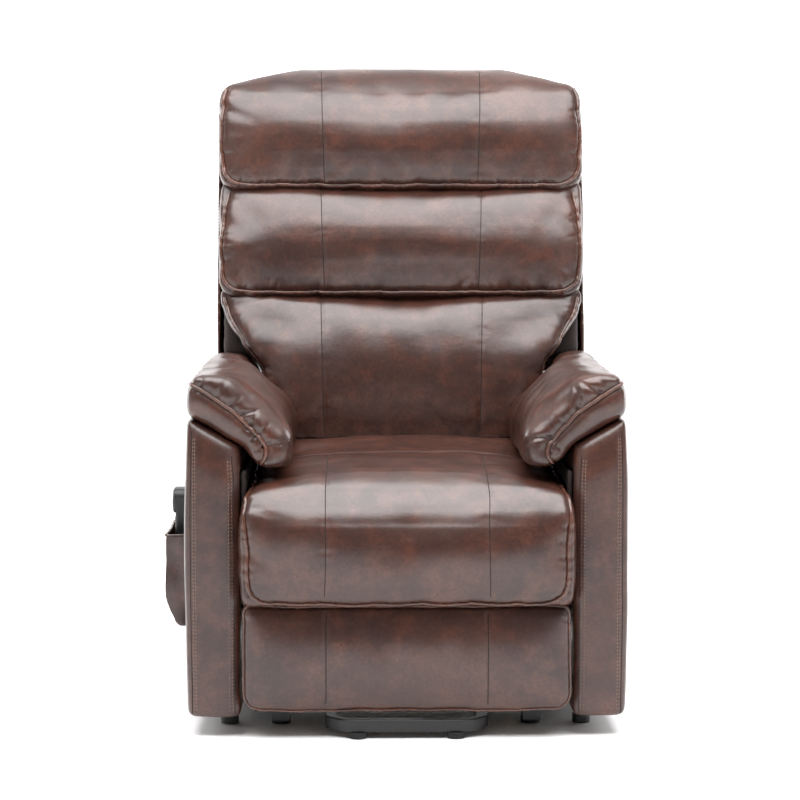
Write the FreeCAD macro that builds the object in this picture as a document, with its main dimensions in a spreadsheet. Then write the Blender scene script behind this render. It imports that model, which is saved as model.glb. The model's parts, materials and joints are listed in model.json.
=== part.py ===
import FreeCAD, Part
import math
import os
import re

import Sketcher
from FreeCAD import Placement, Rotation, Vector

# Lift recliner chair. Millimetres, +Z up, the sitter faces -Y, the origin is on the floor midway
# between the arms. "left" and "right" are the sitter's: left is +X, right is -X.
# Every size below is a cell of the sheet "dims". YZ points are pivots of the side linkages.

DIMENSIONS = {
    # arms, seat and footrest
    "arm_inner": 272, "arm_outer": 360, "arm_front": -400, "arm_rear": 255, "arm_base": 31,
    "arm_top_inner": 478, "arm_top_outer": 526, "cover_wall": 10, "arm_ply": 18,
    "pad_tip": 186, "pad_top": 588, "pad_low": 440, "pad_step": 38, "pad_end": 165,
    "seat_half": 268, "seat_low": 228, "seat_top": 433, "seat_front": -462, "seat_rear": 72,
    "foot_half": 269, "foot_low": 44, "foot_top": 221, "foot_front": -430, "foot_back": -392,
    "board_back": -380, "board_half": 262,
    # steel base
    "rail_in": 195, "rail_out": 225, "rail_low": 12, "rail_top": 37, "rail_front": -330,
    "rail_rear": 270, "tube_wall": 2, "front_tube_y": -210, "rear_tube_y": 248, "tube_half": 13,
    "stub_end": 256, "foot_bar_y": -408, "foot_bar_low": 10, "foot_bar_top": 31,
    "foot_bar_half": 10, "foot_bar_straight": 96, "foot_bar_leg": 125, "foot_bar_bend": 30,
    # layers of the side linkages, measured outwards
    "front_crank_in": 197, "long_link_in": 203, "drive_in": 209, "control_in": 215, "plate_in": 222,
    "plate_out": 226, "lift_link_in": 229, "lift_arm_in": 237, "bracket_in": 246,
    "link_gauge": 4, "lift_gauge": 6,
    # lift linkage pivots
    "arm_low_y": -180, "arm_low_z": 100, "arm_high_y": 190, "arm_high_z": 100,
    "link_low_y": -240, "link_low_z": 80, "link_high_y": 4, "link_high_z": 68,
    "lift_end_y": 248, "lift_end_z": 64, "lift_eye_y": -141, "lift_eye_z": 146, "lift_side": 60,
    "torque_y": 140, "torque_z": 118, "torque_foot_y": 140, "torque_foot_z": 100, "torque_radius": 12.5,
    "lift_spread": 18, "back_spread": 10,
    # footrest linkage pivots
    "drive_y": -230, "drive_z": 178, "drive_end_y": -175, "drive_end_z": 60,
    "crank_y": -253, "crank_z": 194, "crank_end_y": -198, "crank_end_z": 76,
    "ear_y": -157, "ear_z": 69, "bend_y": -305, "bend_z": 80, "control_bend_y": -284,
    "control_bend_z": 104, "board_pin_y": -366, "board_pin_z": 185, "board_ear_y": -333,
    "board_ear_z": 192,
    # recline pivot, back actuator, lean of the back
    "recline_y": 120, "recline_z": 340, "lean": 12, "back_end_y": -160, "back_end_z": 118,
    "back_eye_y": 170, "back_eye_z": 240, "back_side": 60, "lever_y": 152, "lever_z": 332,
    # pins and holes
    "pin": 6, "pin_hole": 6.05, "small_pin": 4, "small_hole": 4.05, "loose_small_hole": 5.2,
    "mid_pin": 5, "mid_hole": 5.05, "loose_mid_hole": 6, "eye_hole": 11.4, "hinge_pin": 8,
    "hinge_hole": 8.05, "link_half": 9, "crank_half": 8, "arm_half": 15, "lug": 16,
    # seat frame
    "frame_low": 170, "frame_top": 225, "frame_out": 262, "frame_front": -370, "frame_rear": 150,
    "timber": 35, "front_timber": -352, "bolt_line": 197, "bolt": 4,
    # cross tubes of the mechanism
    "cross_y": -190, "cross_z": 150, "rear_cross_y": 160, "rear_cross_z": 150, "cross_radius": 12.5,
    "cross_bore": 10, "lug_half": 12,
    # actuators
    "rod_radius": 9, "rod_bore": 9.06, "tube_radius": 17, "tube_bore": 12,
    # back, in its own leaning frame: x across, y forwards negative, z up the back
    "narrow_half": 255, "wide_half": 335, "shell_half": 341, "shell_narrow": 260,
    "cushion_front": -95, "cushion_back": 10, "shell_back": 110, "shell_wall": 6, "lumbar_low": 98,
    "lumbar_top": 361, "middle_top": 561, "head_top": 796, "head_corner": 752,
    # handset and pocket on the right arm
    "pocket_front": -285, "pocket_rear": -95, "pocket_low": 151, "pocket_top": 306,
    "pocket_out": 403, "pocket_wall": 4, "handset_in": 371, "handset_out": 391,
}

# places along Y of the bolts through the seat frame, and of those that hold the arms
FRAME_BOLTS = (-130, -10, 40)
ARM_BOLTS = (-330, 95)

doc = FreeCAD.newDocument("lift_recliner")
sheet = doc.addObject("Spreadsheet::Sheet", "dims")
for row, (alias, value) in enumerate(DIMENSIONS.items(), start=1):
    sheet.set(f"A{row}", alias)
    sheet.set(f"B{row}", str(value))
    sheet.setAlias(f"B{row}", alias)
doc.recompute()

nodes = {}


# ---- small tools -------------------------------------------------------------------------------

def cell(alias):
    """The number that a cell of the sheet holds."""
    return float(sheet.get(alias))


def formula(text):
    """An expression in which every word is a cell of the sheet."""
    return re.sub(r"[a-z]\w*", lambda word: "dims." + word.group(), str(text))


def bind(target, **formulas):
    for name, text in formulas.items():
        target.setExpression(name.replace("__", "."), formula(text))


def keep(name, target):
    """Names a finished sub-part and lists it for export."""
    target.Label = name
    nodes[name] = target
    return target


def block(low, high):
    """A box between two corners, each corner three formulas."""
    box = doc.addObject("Part::Box", "block")
    for side, axis, a, b in zip(("Length", "Width", "Height"), "xyz", low, high):
        bind(box, **{side: f"({b}) - ({a})", "Placement__Base__" + axis: a})
    return box


def bar(axis, radius, centre, start, stop):
    """A round bar along axis "x", "y" or "z"; centre gives the other two coordinates in order."""
    turn = {"x": Rotation(Vector(0, 1, 0), 90), "y": Rotation(Vector(1, 0, 0), -90), "z": Rotation()}
    cylinder = doc.addObject("Part::Cylinder", "bar")
    cylinder.Placement = Placement(Vector(), turn[axis])
    bind(cylinder, Radius=radius, Height=f"({stop}) - ({start})")
    others = [letter for letter in "xyz" if letter != axis]
    for letter, text in zip([axis, *others], [start, *centre]):
        bind(cylinder, **{"Placement__Base__" + letter: text})
    return cylinder


def joined(*pieces):
    fuse = doc.addObject("Part::MultiFuse", "joined")
    fuse.Shapes = list(pieces)
    fuse.Refine = False
    return fuse


def carved(base, *tools):
    cut = doc.addObject("Part::Cut", "carved")
    cut.Base = base
    cut.Tool = tools[0] if len(tools) == 1 else joined(*tools)
    return cut


def mirrored(source):
    """The same piece on the other side of the chair."""
    mirror = doc.addObject("Part::Mirroring", "mirrored")
    mirror.Source = source
    mirror.Normal = Vector(1, 0, 0)
    return mirror


def both_sides(source):
    return joined(source, mirrored(source))


def pair(name, source):
    """Two nodes, NAME_left as modelled and NAME_right as its mirror image."""
    keep(name + "_left", source)
    keep(name + "_right", mirrored(source))


def new_sketch(body, role, offset):
    plane = [f for f in body.Origin.OriginFeatures if f.Role == role][0]
    sketch = body.newObject("Sketcher::SketchObject", "outline")
    sketch.AttachmentSupport = [(plane, "")]
    sketch.MapMode = "FlatFace"
    bind(sketch, AttachmentOffset__Base__z=offset)
    return sketch


def fix_centre(sketch, geometry, y_cell, z_cell, label):
    """Holds an arc's or circle's centre at two cells of the sheet."""
    for axis, alias in (("X", y_cell), ("Y", z_cell)):
        name = label + axis.lower()
        number = sketch.addConstraint(
            Sketcher.Constraint("Distance" + axis, -1, 1, geometry, 3, cell(alias)))
        sketch.renameConstraint(number, name)
        bind(sketch, **{"Constraints__" + name: alias})


def fix_radius(sketch, geometry, alias, label):
    number = sketch.addConstraint(Sketcher.Constraint("Radius", geometry, cell(alias)))
    sketch.renameConstraint(number, label)
    bind(sketch, **{"Constraints__" + label: alias})


def draw_slot(sketch, start, end, half):
    """A bar with round ends about two pivots; each pivot is the stem of its two cells."""
    p, q = (Vector(cell(stem + "_y"), cell(stem + "_z"), 0) for stem in (start, end))
    along = (q - p).normalize()
    side = Vector(-along.y, along.x, 0) * cell(half)
    angle = math.atan2(along.y, along.x)
    up = Vector(0, 0, 1)
    quarter = math.pi / 2
    first = Part.ArcOfCircle(Part.Circle(p, up, cell(half)), angle + quarter, angle + 3 * quarter)
    second = Part.ArcOfCircle(Part.Circle(q, up, cell(half)), angle - quarter, angle + quarter)
    sketch.addGeometry([first, Part.LineSegment(p - side, q - side),
                        second, Part.LineSegment(q + side, p + side)])
    for one in range(4):
        sketch.addConstraint(Sketcher.Constraint("Tangent", one, 2, (one + 1) % 4, 1))
    sketch.addConstraint(Sketcher.Constraint("Equal", 0, 2))
    fix_radius(sketch, 0, half, "half")
    fix_centre(sketch, 0, start + "_y", start + "_z", "start")
    fix_centre(sketch, 2, end + "_y", end + "_z", "end")


def pad(body, sketch, depth):
    feature = body.newObject("PartDesign::Pad", "pad")
    feature.Profile = sketch
    bind(feature, Length=depth)
    body.Tip = feature
    return feature


def link(inside, gauge, half, bars, holes):
    """A flat steel link: bars between pivots, then holes, each (pivot stem, radius cell)."""
    body = doc.addObject("PartDesign::Body", "link")
    for start, end in bars:
        sketch = new_sketch(body, "YZ_Plane", inside)
        draw_slot(sketch, start, end, half)
        pad(body, sketch, gauge)
    sketch = new_sketch(body, "YZ_Plane", inside)
    for number, (stem, radius) in enumerate(holes):
        centre = Vector(cell(stem + "_y"), cell(stem + "_z"), 0)
        sketch.addGeometry(Part.Circle(centre, Vector(0, 0, 1), cell(radius)))
        fix_radius(sketch, number, radius, f"radius{number}")
        fix_centre(sketch, number, stem + "_y", stem + "_z", f"hole{number}")
    doc.recompute()
    solid = body.Tip.Shape.Volume
    pocket = body.newObject("PartDesign::Pocket", "holes")
    pocket.Profile = sketch
    pocket.Type = "ThroughAll"
    pocket.Midplane = True
    body.Tip = pocket
    doc.recompute()
    if pocket.Shape.Volume > solid - 1:
        raise ValueError("the holes of a link cut nothing")
    return body


def rounded_outline(points):
    """Lines and tangent arcs through corners (u, v, radius)."""
    corners = [(Vector(u, v, 0), radius) for u, v, radius in points]
    edges, ends = [], []
    for index, (corner, radius) in enumerate(corners):
        before = (corners[index - 1][0] - corner).normalize()
        after = (corners[(index + 1) % len(corners)][0] - corner).normalize()
        if not radius:
            ends.append((corner, corner))
            continue
        half_angle = before.getAngle(after) / 2
        reach = radius / math.tan(half_angle)
        middle = corner + (before + after).normalize() * (radius / math.sin(half_angle) - radius)
        ends.append((corner + before * reach, corner + after * reach))
        edges.append(Part.Arc(ends[-1][0], middle, ends[-1][1]))
    for index, (_, leave) in enumerate(ends):
        arrive = ends[(index + 1) % len(ends)][0]
        if (arrive - leave).Length > 1e-6:
            edges.append(Part.LineSegment(leave, arrive))
    return edges


def profile(role, offset, depth, points, rounding=0, chosen=None):
    """A body padded from a rounded outline; chosen(edge) picks the edges to round."""
    body = doc.addObject("PartDesign::Body", "profile")
    sketch = new_sketch(body, role, offset)
    sketch.addGeometry(rounded_outline(points))
    base = pad(body, sketch, depth)
    if rounding:
        doc.recompute()
        names = [f"Edge{n}" for n, edge in enumerate(base.Shape.Edges, 1) if chosen(edge)]
        fillet = body.newObject("PartDesign::Fillet", "rounding")
        fillet.Base = (base, names)
        fillet.Radius = rounding
        body.Tip = fillet
    return body


def flat_in(axis):
    """Picks the edges that lie in a plane square to the axis: the rims of a padded outline."""
    def test(edge):
        box = edge.BoundBox
        return {"x": box.XLength, "y": box.YLength, "z": box.ZLength}[axis] < 1e-4
    return test


def lean(piece):
    """Puts a piece modelled in the back's own frame at the recline pivot, leaning rearwards."""
    piece.Placement = Placement(Vector(0, cell("recline_y"), cell("recline_z")),
                                Rotation(Vector(1, 0, 0), -cell("lean")))
    return piece


def aim(piece, start, end, across):
    """Turns a piece modelled along -Y so that it runs from one pivot to another."""
    y0, z0, y1, z1 = (cell(stem + letter) for stem in (start, end) for letter in ("_y", "_z"))
    angle = math.degrees(math.atan2(-(z1 - z0), -(y1 - y0)))
    piece.Placement = Placement(Vector(across, y0, z0), Rotation(Vector(1, 0, 0), angle))
    return piece


def span(start, end):
    return math.hypot(cell(end + "_y") - cell(start + "_y"), cell(end + "_z") - cell(start + "_z"))


# ---- steel base ----------------------------------------------------------------------------------

def clevis(centre_x, pivot, foot_z, hole):
    """Two upright lugs with one hole through both, standing on a tube."""
    lugs = []
    for inner, outer in ((f"{centre_x} - 12", f"{centre_x} - 8"), (f"{centre_x} + 8", f"{centre_x} + 12")):
        lugs.append(block((inner, f"{pivot}_y - 10", foot_z), (outer, f"{pivot}_y + 10", f"{pivot}_z")))
        lugs.append(bar("x", 10, (f"{pivot}_y", f"{pivot}_z"), inner, outer))
    hole_bar = bar("x", hole, (f"{pivot}_y", f"{pivot}_z"), f"{centre_x} - 20", f"{centre_x} + 20")
    return carved(joined(*lugs), hole_bar)


def base_frame():
    low, top, wall = "rail_low", "rail_top", "tube_wall"
    rail = block(("rail_in", "rail_front", low), ("rail_out", "rail_rear", top))
    bore = block((f"rail_in + {wall}", "rail_front - 1", f"{low} + {wall}"),
                 (f"rail_out - {wall}", "rail_rear + 1", f"{top} - {wall}"))
    rails = both_sides(carved(rail, bore))
    crosses = []
    for centre in ("front_tube_y", "rear_tube_y"):
        outer = block(("-rail_in", f"{centre} - tube_half", low), ("rail_in", f"{centre} + tube_half", top))
        inner = block(("-rail_in", f"{centre} - tube_half + {wall}", f"{low} + {wall}"),
                      ("rail_in", f"{centre} + tube_half - {wall}", f"{top} - {wall}"))
        crosses.append(carved(outer, inner))
    stub = block(("rail_out", "front_tube_y - 45", low), ("stub_end", "front_tube_y + 45", top))
    lugs = clevis("lift_side", "lift_end", "rail_top", "mid_pin")
    return keep("base_frame", joined(rails, *crosses, both_sides(stub), lugs))


def front_foot_bar():
    """A rectangular tube bent into a shallow U that reaches forward under the footrest."""
    y, half, leg = cell("foot_bar_y"), cell("foot_bar_half"), cell("foot_bar_leg")
    straight, bend = cell("foot_bar_straight"), cell("foot_bar_bend")
    back, turn = cell("front_tube_y") - cell("tube_half"), y + 24
    outer = [(leg + half, back, 0), (leg + half, turn, bend + half), (straight + 6, y - half, bend + half)]
    inner = [(leg - half, back, 0), (leg - half, turn + 4, bend - half), (straight, y + half, bend - half)]
    outline = [(-u, v, r) for u, v, r in outer] + outer[::-1] + inner + [(-u, v, r) for u, v, r in inner[::-1]]
    body = profile("XY_Plane", "foot_bar_low", "foot_bar_top - foot_bar_low", outline, 3, flat_in("z"))
    return keep("front_foot_bar", body)


def base_feet():
    pads = [bar("z", 15, (x, "foot_bar_y"), 0, "foot_bar_low") for x in (-80, 80)]
    for y in ("rail_front + 40", "rail_rear - 30"):
        for x in ("(rail_in + rail_out) / 2", "-(rail_in + rail_out) / 2"):
            pads.append(bar("z", 16, (x, y), 0, "rail_low"))
    return keep("base_feet", joined(*pads))


def rail_end_caps():
    caps = []
    for lip_low, lip_high, plug_low, plug_high in (
            ("rail_front - 3", "rail_front", "rail_front", "rail_front + 15"),
            ("rail_rear", "rail_rear + 3", "rail_rear - 15", "rail_rear")):
        caps.append(block(("rail_in", lip_low, "rail_low"), ("rail_out", lip_high, "rail_top")))
        caps.append(block(("rail_in + tube_wall", plug_low, "rail_low + tube_wall"),
                          ("rail_out - tube_wall", plug_high, "rail_top - tube_wall")))
    return keep("rail_end_caps", both_sides(joined(*caps)))


def base_link_brackets():
    """Upright plates that carry the lower pivots of both lift links."""
    y0, z0, y1, z1 = (cell(n) for n in ("link_low_y", "link_low_z", "arm_low_y", "arm_low_z"))
    foot = cell("rail_top")
    outline = [(y0 - 12, foot, 2), (y1 + 22, foot, 2), (y1 + 20, z1 + 18, 18), (y1 - 18, z1 + 18, 18),
               (y0 - 16, z0 + 16, 14)]
    plate = profile("YZ_Plane", "bracket_in", "lift_gauge", outline)
    holes = [bar("x", "pin", (f"{stem}_y", f"{stem}_z"), "bracket_in - 1", "bracket_in + lift_gauge + 1")
             for stem in ("arm_low", "link_low")]
    return keep("base_link_brackets", both_sides(carved(plate, *holes)))


def base_pivot_bolts():
    bolts = []
    for stem, start in (("arm_low", "lift_arm_in - 0.5"), ("link_low", "lift_link_in")):
        centre = (f"{stem}_y", f"{stem}_z")
        bolts.append(bar("x", "pin", centre, start, "bracket_in + lift_gauge"))
        bolts.append(bar("x", 10, centre, "bracket_in + lift_gauge", "bracket_in + lift_gauge + 6"))
    return keep("base_pivot_bolts", both_sides(joined(*bolts)))


# ---- lift linkage ----------------------------------------------------------------------------------

def rear_lift_arms():
    plate = link("lift_arm_in", "lift_gauge", "arm_half",
                 [("arm_low", "arm_high"), ("torque_foot", "torque")],
                 [("arm_low", "pin_hole"), ("arm_high", "pin_hole")])
    pair("rear_lift_arm", plate)


def front_lift_links():
    plate = link("lift_link_in", "lift_gauge", "link_half", [("link_low", "link_high")],
                 [("link_low", "pin_hole"), ("link_high", "loose_mid_hole")])
    pair("front_lift_link", plate)


def lever(tube_stem, eye_stem, centre_x, spread, hole):
    """Two flat lever plates from a cross tube to an actuator's eye, one each side of the actuator."""
    plates = []
    for inside in (f"{centre_x} - {spread} - link_gauge", f"{centre_x} + {spread}"):
        plates.append(link(inside, "link_gauge", "lug", [(tube_stem, eye_stem)], [(eye_stem, hole)]))
    return plates


def lift_torque_tube():
    """Cross tube of the lift arms, above the lift actuator, with two long levers to its rod."""
    centre = ("torque_y", "torque_z")
    tube = carved(bar("x", "torque_radius", centre, "-lift_arm_in", "lift_arm_in"),
                  bar("x", "torque_radius - 2.5", centre, "-lift_arm_in - 1", "lift_arm_in + 1"))
    plates = [carved(plate, bar("x", "torque_radius - 1", centre, "lift_side - 30", "lift_side + 30"))
              for plate in lever("torque", "lift_eye", "lift_side", "lift_spread", "eye_hole")]
    return keep("lift_torque_tube", joined(tube, *plates))


def actuator_case(side, can_side):
    """Gear housing, motor can and rear eye, modelled along -Y from the rear pin."""
    housing = profile("XY_Plane", -21, 42, [(-26, -70, 8), (26, -70, 8), (26, -14, 8), (-26, -14, 8)],
                      4, flat_in("z"))
    eye = bar("x", 12, (0, 0), -7.5, 7.5)
    neck = block((-7.5, -16, -10), (7.5, 0, 10))
    can = bar("y", 18, (41 * can_side, 0), -150, -40)
    near, far = sorted((20 * can_side, 43 * can_side))
    bridge = block((near, -68, -14), (far, -42, 14))
    case = carved(joined(housing, eye, neck, can, bridge), bar("y", 15, (0, 0), -75, -40))
    pin = bar("x", "mid_pin - 0.05", (0, 0), -12, 12)
    return joined(case, pin)


def actuator_tube(length):
    """Outer tube with a guide at its mouth that the rod runs in."""
    tube = bar("y", "tube_radius", (0, 0), -length, -70)
    stub = bar("y", 15, (0, 0), -75, -40)
    bore = bar("y", "tube_bore", (0, 0), f"-{length} + 14", -52)
    guide = bar("y", "rod_bore", (0, 0), -length - 1, -60)
    return carved(joined(tube, stub), bore, guide)


def actuator_rod(tail, reach, spread):
    """Chromed rod, its eye and the cross pin that runs in the lever's clearance holes."""
    rod = bar("y", "rod_radius", (0, 0), -reach, -tail)
    eye = bar("x", 11, (-reach, 0), -9, 9)
    pin = bar("x", "mid_pin", (-reach, 0), f"-{spread} - 6", f"{spread} + 6")
    return joined(rod, eye, pin)


def actuator(name, tube_name, rod_name, start, end, side, can_side, tube_length, tail, spread):
    pieces = ((name, actuator_case(side, can_side)), (tube_name, actuator_tube(tube_length)),
              (rod_name, actuator_rod(tail, span(start, end), spread)))
    for label, piece in pieces:
        keep(label, aim(piece, start, end, side))


# ---- mechanism and seat frame on the chair ---------------------------------------------------------

def mechanism_side_plates():
    """Steel side plates that hold the lift, seat and footrest pivots."""
    low, b_y, b_z = 134, cell("arm_high_y"), cell("arm_high_z")
    d_y, d_z = cell("link_high_y"), cell("link_high_z")
    outline = [(-278, 160, 10), (-278, 222, 6), (b_y + 15, 222, 6), (b_y + 15, b_z - 15, 14),
               (b_y - 15, b_z - 15, 14), (b_y - 22, low, 8), (d_y + 26, low, 8),
               (d_y + 14, d_z - 13, 12), (d_y - 14, d_z - 13, 12), (d_y - 26, low, 8), (-190, low, 8),
               (-225, 160, 8)]
    plate = profile("YZ_Plane", "plate_in", "plate_out - plate_in", outline)
    holes = [bar("x", radius, (f"{stem}_y", f"{stem}_z"), "plate_in - 1", "plate_out + 1")
             for stem, radius in (("arm_high", "pin"), ("link_high", "mid_pin"), ("drive", "mid_pin"),
                                  ("crank", "mid_pin"))]
    holes += [bar("x", "bolt", (y, "bolt_line"), "plate_in - 1", "plate_out + 1") for y in FRAME_BOLTS]
    pair("mechanism_side_plate", carved(plate, *holes))


def mechanism_cross_tubes():
    """Two cross tubes; the front one carries the lugs of the back actuator."""
    tubes = []
    for stem in ("cross", "rear_cross"):
        centre = (f"{stem}_y", f"{stem}_z")
        bore = bar("x", "cross_bore", centre, "-plate_in - 1", "plate_in + 1")
        tubes.append(carved(bar("x", "cross_radius", centre, "-plate_in", "plate_in"), bore))
    lugs = []
    for inside in ("-back_side - 12", "-back_side + 8"):
        lug = link(inside, "link_gauge", "lug_half", [("cross", "back_end")], [("back_end", "mid_pin")])
        lugs.append(carved(lug, bar("x", "cross_radius - 1", ("cross_y", "cross_z"), f"{inside} - 1",
                                    f"{inside} + link_gauge + 1")))
    return keep("mechanism_cross_tubes", joined(*tubes, *lugs))


def chair_pivot_bolts():
    high = ("arm_high_y", "arm_high_z")
    bolts = [bar("x", "pin", high, "plate_in", "lift_arm_in + lift_gauge + 0.5"),
             bar("x", 9, high, "lift_arm_in + lift_gauge + 0.5", "lift_arm_in + lift_gauge + 5"),
             bar("x", "mid_pin", ("link_high_y", "link_high_z"), "plate_in", "lift_arm_in - 0.6")]
    return keep("chair_pivot_bolts", both_sides(joined(*bolts)))


def seat_frame():
    side = block(("plate_out", "frame_front", "frame_low"), ("frame_out", "frame_rear", "frame_top"))
    rails = both_sides(side)
    front = block(("-plate_out", "front_timber", "frame_low"),
                  ("plate_out", "front_timber + timber", "frame_top"))
    notch = block(("front_crank_in - 7", "front_timber - 1", "frame_low - 1"),
                  ("plate_out", "front_timber + timber + 1", "frame_top - 12"))
    rear = block(("-plate_out", "frame_rear - timber", "frame_low + 2"),
                 ("plate_out", "frame_rear", "frame_top"))
    plates = both_sides(block(("plate_in - 0.1", -300, "frame_low - 1"),
                              ("plate_out", "arm_high_y + 16", "frame_top - 2.8")))
    gap = block(("-back_side - 26", "frame_rear - timber - 1", 190),
                ("-back_side + 26", "frame_rear + 1", "frame_top + 1"))
    bolt_holes = [bar("x", "bolt", (y, "bolt_line"), "plate_out - 1", "frame_out + 1")
                  for y in FRAME_BOLTS + ARM_BOLTS]
    cuts = [both_sides(notch), plates, gap, both_sides(joined(*bolt_holes))]
    return keep("seat_frame", carved(joined(rails, front, rear), *cuts))


def seat_springs():
    """Five sinuous springs from the front rail to the rear rail."""
    wire_radius, swing, pitch = 1.9, 18, 19
    height = cell("frame_top") - 1.5
    front, rear = cell("front_timber") + cell("timber"), cell("frame_rear") - cell("timber")
    loops = int((rear - front) // pitch)
    start = front + (rear - front - loops * pitch) / 2
    springs = []
    for across in (-176, -118, 0, 118, 176):
        points = [Vector(across, front + wire_radius, 0)]
        for turn in range(loops + 1):
            swing_now = swing if turn % 2 else -swing
            points.append(Vector(across + swing_now, start + turn * pitch, 0))
        points.append(Vector(across, rear - wire_radius, 0))
        points = [Vector(p.x, p.y, height) for p in points]
        wire = Part.makePolygon(points)
        ring = Part.Wire(Part.makeCircle(wire_radius, points[0], points[1] - points[0]))
        springs.append(wire.makePipeShell([ring], True, False, 2))
    feature = doc.addObject("Part::Feature", "seat_springs")
    feature.Shape = Part.makeCompound(springs)
    return keep("seat_springs", feature)


def seat_cushion():
    front, rear, low, top = (cell(n) for n in ("seat_front", "seat_rear", "seat_low", "seat_top"))
    outline = [(front, low, 26), (front, top - 12, 62), (-200, top + 4, 300), (rear, top, 22),
               (rear, low + 44, 12), (rear - 60, low, 30)]
    body = profile("YZ_Plane", "-seat_half", "2 * seat_half", outline, 16, flat_in("x"))
    return keep("seat_cushion", body)


# ---- arms -------------------------------------------------------------------------------------------

def arm_outline(inset):
    """Cross-section of an arm in XZ, shrunk by an inset; its top slopes down inwards."""
    return [(cell("arm_inner") + inset, cell("arm_base") + inset, 0),
            (cell("arm_outer") - inset, cell("arm_base") + inset, 0),
            (cell("arm_outer") - inset, cell("arm_top_outer") - inset, 0),
            (cell("arm_inner") + inset, cell("arm_top_inner") - inset, 0)]


def arm_covers():
    # an XZ sketch's normal points to -Y, so the offsets are negated
    outer = profile("XZ_Plane", "-arm_rear", "arm_rear - arm_front", arm_outline(0), 8,
                    lambda edge: edge.BoundBox.YLength < 1e-4 or edge.BoundBox.ZLength > 300)
    inner = profile("XZ_Plane", "-arm_rear + cover_wall", "arm_rear - arm_front - 2 * cover_wall",
                    arm_outline(cell("cover_wall")))
    holes = [bar("x", "bolt", (y, "bolt_line"), "arm_inner - 1", "arm_inner + cover_wall + 1")
             for y in ARM_BOLTS]
    pair("arm_cover", carved(outer, inner, *holes))


def arm_frames():
    """Plywood panel, front board and top board inside an arm."""
    wall, ply = "cover_wall", "arm_ply"
    front, rear = f"arm_front + {wall}", f"arm_rear - {wall}"
    low = f"arm_base + {wall}"
    panel = block(("arm_inner + 30", front, low), (f"arm_inner + 30 + {ply}", rear, "arm_top_inner - 12"))
    hole = block(("arm_inner + 20", "arm_front + 120", "arm_base + 110"),
                 ("arm_inner + 60", "arm_rear - 110", "arm_top_inner - 110"))
    near, far, high = f"arm_inner + {wall}", f"arm_outer - {wall}", "arm_top_inner - 12"
    boards = [block((near, front, low), (far, f"{front} + {ply}", high)),
              block((near, f"{rear} - {ply}", low), (far, rear, high)),
              block((near, front, low), (far, rear, f"{low} + {ply}"))]
    bolts = [bar("x", "bolt", (y, "bolt_line"), "arm_inner", "arm_inner + 60") for y in ARM_BOLTS]
    pair("arm_frame", carved(joined(panel, *boards), hole, *bolts))


def arm_pads():
    inner, outer = cell("arm_inner"), cell("arm_outer")
    slope = (cell("arm_top_outer") - cell("arm_top_inner")) / (outer - inner)
    tip, top, low = cell("pad_tip"), cell("pad_top"), cell("pad_low")
    over = [(outer - 2, cell("arm_top_outer") - 2 * slope + 0.05, 4), (outer - 2, top, 24),
            (292, top, 70), (tip, 494, 34), (tip + 2, low, 20), (tip + 54, low + 2, 18),
            (inner - 8, cell("arm_top_inner") - 6, 6), (inner, cell("arm_top_inner") + 0.05, 0)]
    thick = profile("XZ_Plane", "-pad_step", "pad_step - arm_front + 5", over, 9, flat_in("y"))
    lane = [(outer - 2, cell("arm_top_outer") - 2 * slope + 0.05, 4), (outer - 2, top, 24),
            (inner + 2, top, 30), (inner + 2, cell("arm_top_inner") + 2 * slope + 0.05, 0)]
    thin = profile("XZ_Plane", "-pad_end", "pad_end - pad_step + 12", lane)
    pair("arm_pad", joined(thick, thin))


def arm_feet():
    feet = [joined(bar("z", 15, (296, y), 0, 14), bar("z", 9, (296, y), 14, "arm_base"))
            for y in (-290, 190)]
    return keep("arm_feet", both_sides(joined(*feet)))


def frame_bolts():
    bolts = []
    for y in FRAME_BOLTS:
        bolts.append(bar("x", "bolt", (y, "bolt_line"), "plate_in", "frame_out"))
        bolts.append(bar("x", "2 * bolt", (y, "bolt_line"), "frame_out", "frame_out + 6"))
    for y in ARM_BOLTS:
        bolts.append(bar("x", "bolt", (y, "bolt_line"), "plate_out + 1", "arm_inner + 48"))
        bolts.append(bar("x", 9, (y, "bolt_line"), "frame_out", "arm_inner"))
    return keep("frame_bolts", both_sides(joined(*bolts)))


def side_pocket():
    """Leather pouch on the outside of the right arm, open at the top."""
    low, top, out, wall = (cell(n) for n in ("pocket_low", "pocket_top", "pocket_out", "pocket_wall"))
    arm = cell("arm_outer") + 0.05
    outline = [(-arm, low, 0), (-arm, top, 0), (-out + 1, top, 0), (-out, low + 60, 40), (-out + 18, low, 14)]
    cavity = [(-arm - wall + 0.5, low + 14, 4), (-arm - wall + 0.5, top + 5, 0), (-out + wall + 1, top + 5, 0),
              (-out + wall, low + 62, 36), (-out + 22, low + 14, 6)]
    outer = profile("XZ_Plane", "-pocket_rear", "pocket_rear - pocket_front", outline)
    inner = profile("XZ_Plane", "-pocket_rear + pocket_wall",
                    "pocket_rear - pocket_front - 2 * pocket_wall", cavity)
    return keep("side_pocket", carved(outer, inner))


def control_box():
    box = profile("XY_Plane", 172, 40, [(100, 45, 8), (188, 45, 8), (188, 115, 0), (100, 115, 0)], 3,
                  lambda edge: edge.BoundBox.ZLength < 1e-4 and edge.BoundBox.YMax < 114)
    keep("control_box", carved(box, bar("z", 6, (122, 80), 170, 184)))
    shell = carved(bar("z", 8, (122, 80), 160, 172), bar("z", 5, (122, 80), 159, 170))
    keep("power_inlet", joined(shell, bar("z", 1.5, (122, 80), 162, 172), bar("z", 6, (122, 80), 172, 184)))


# ---- back ---------------------------------------------------------------------------------------------

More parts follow.
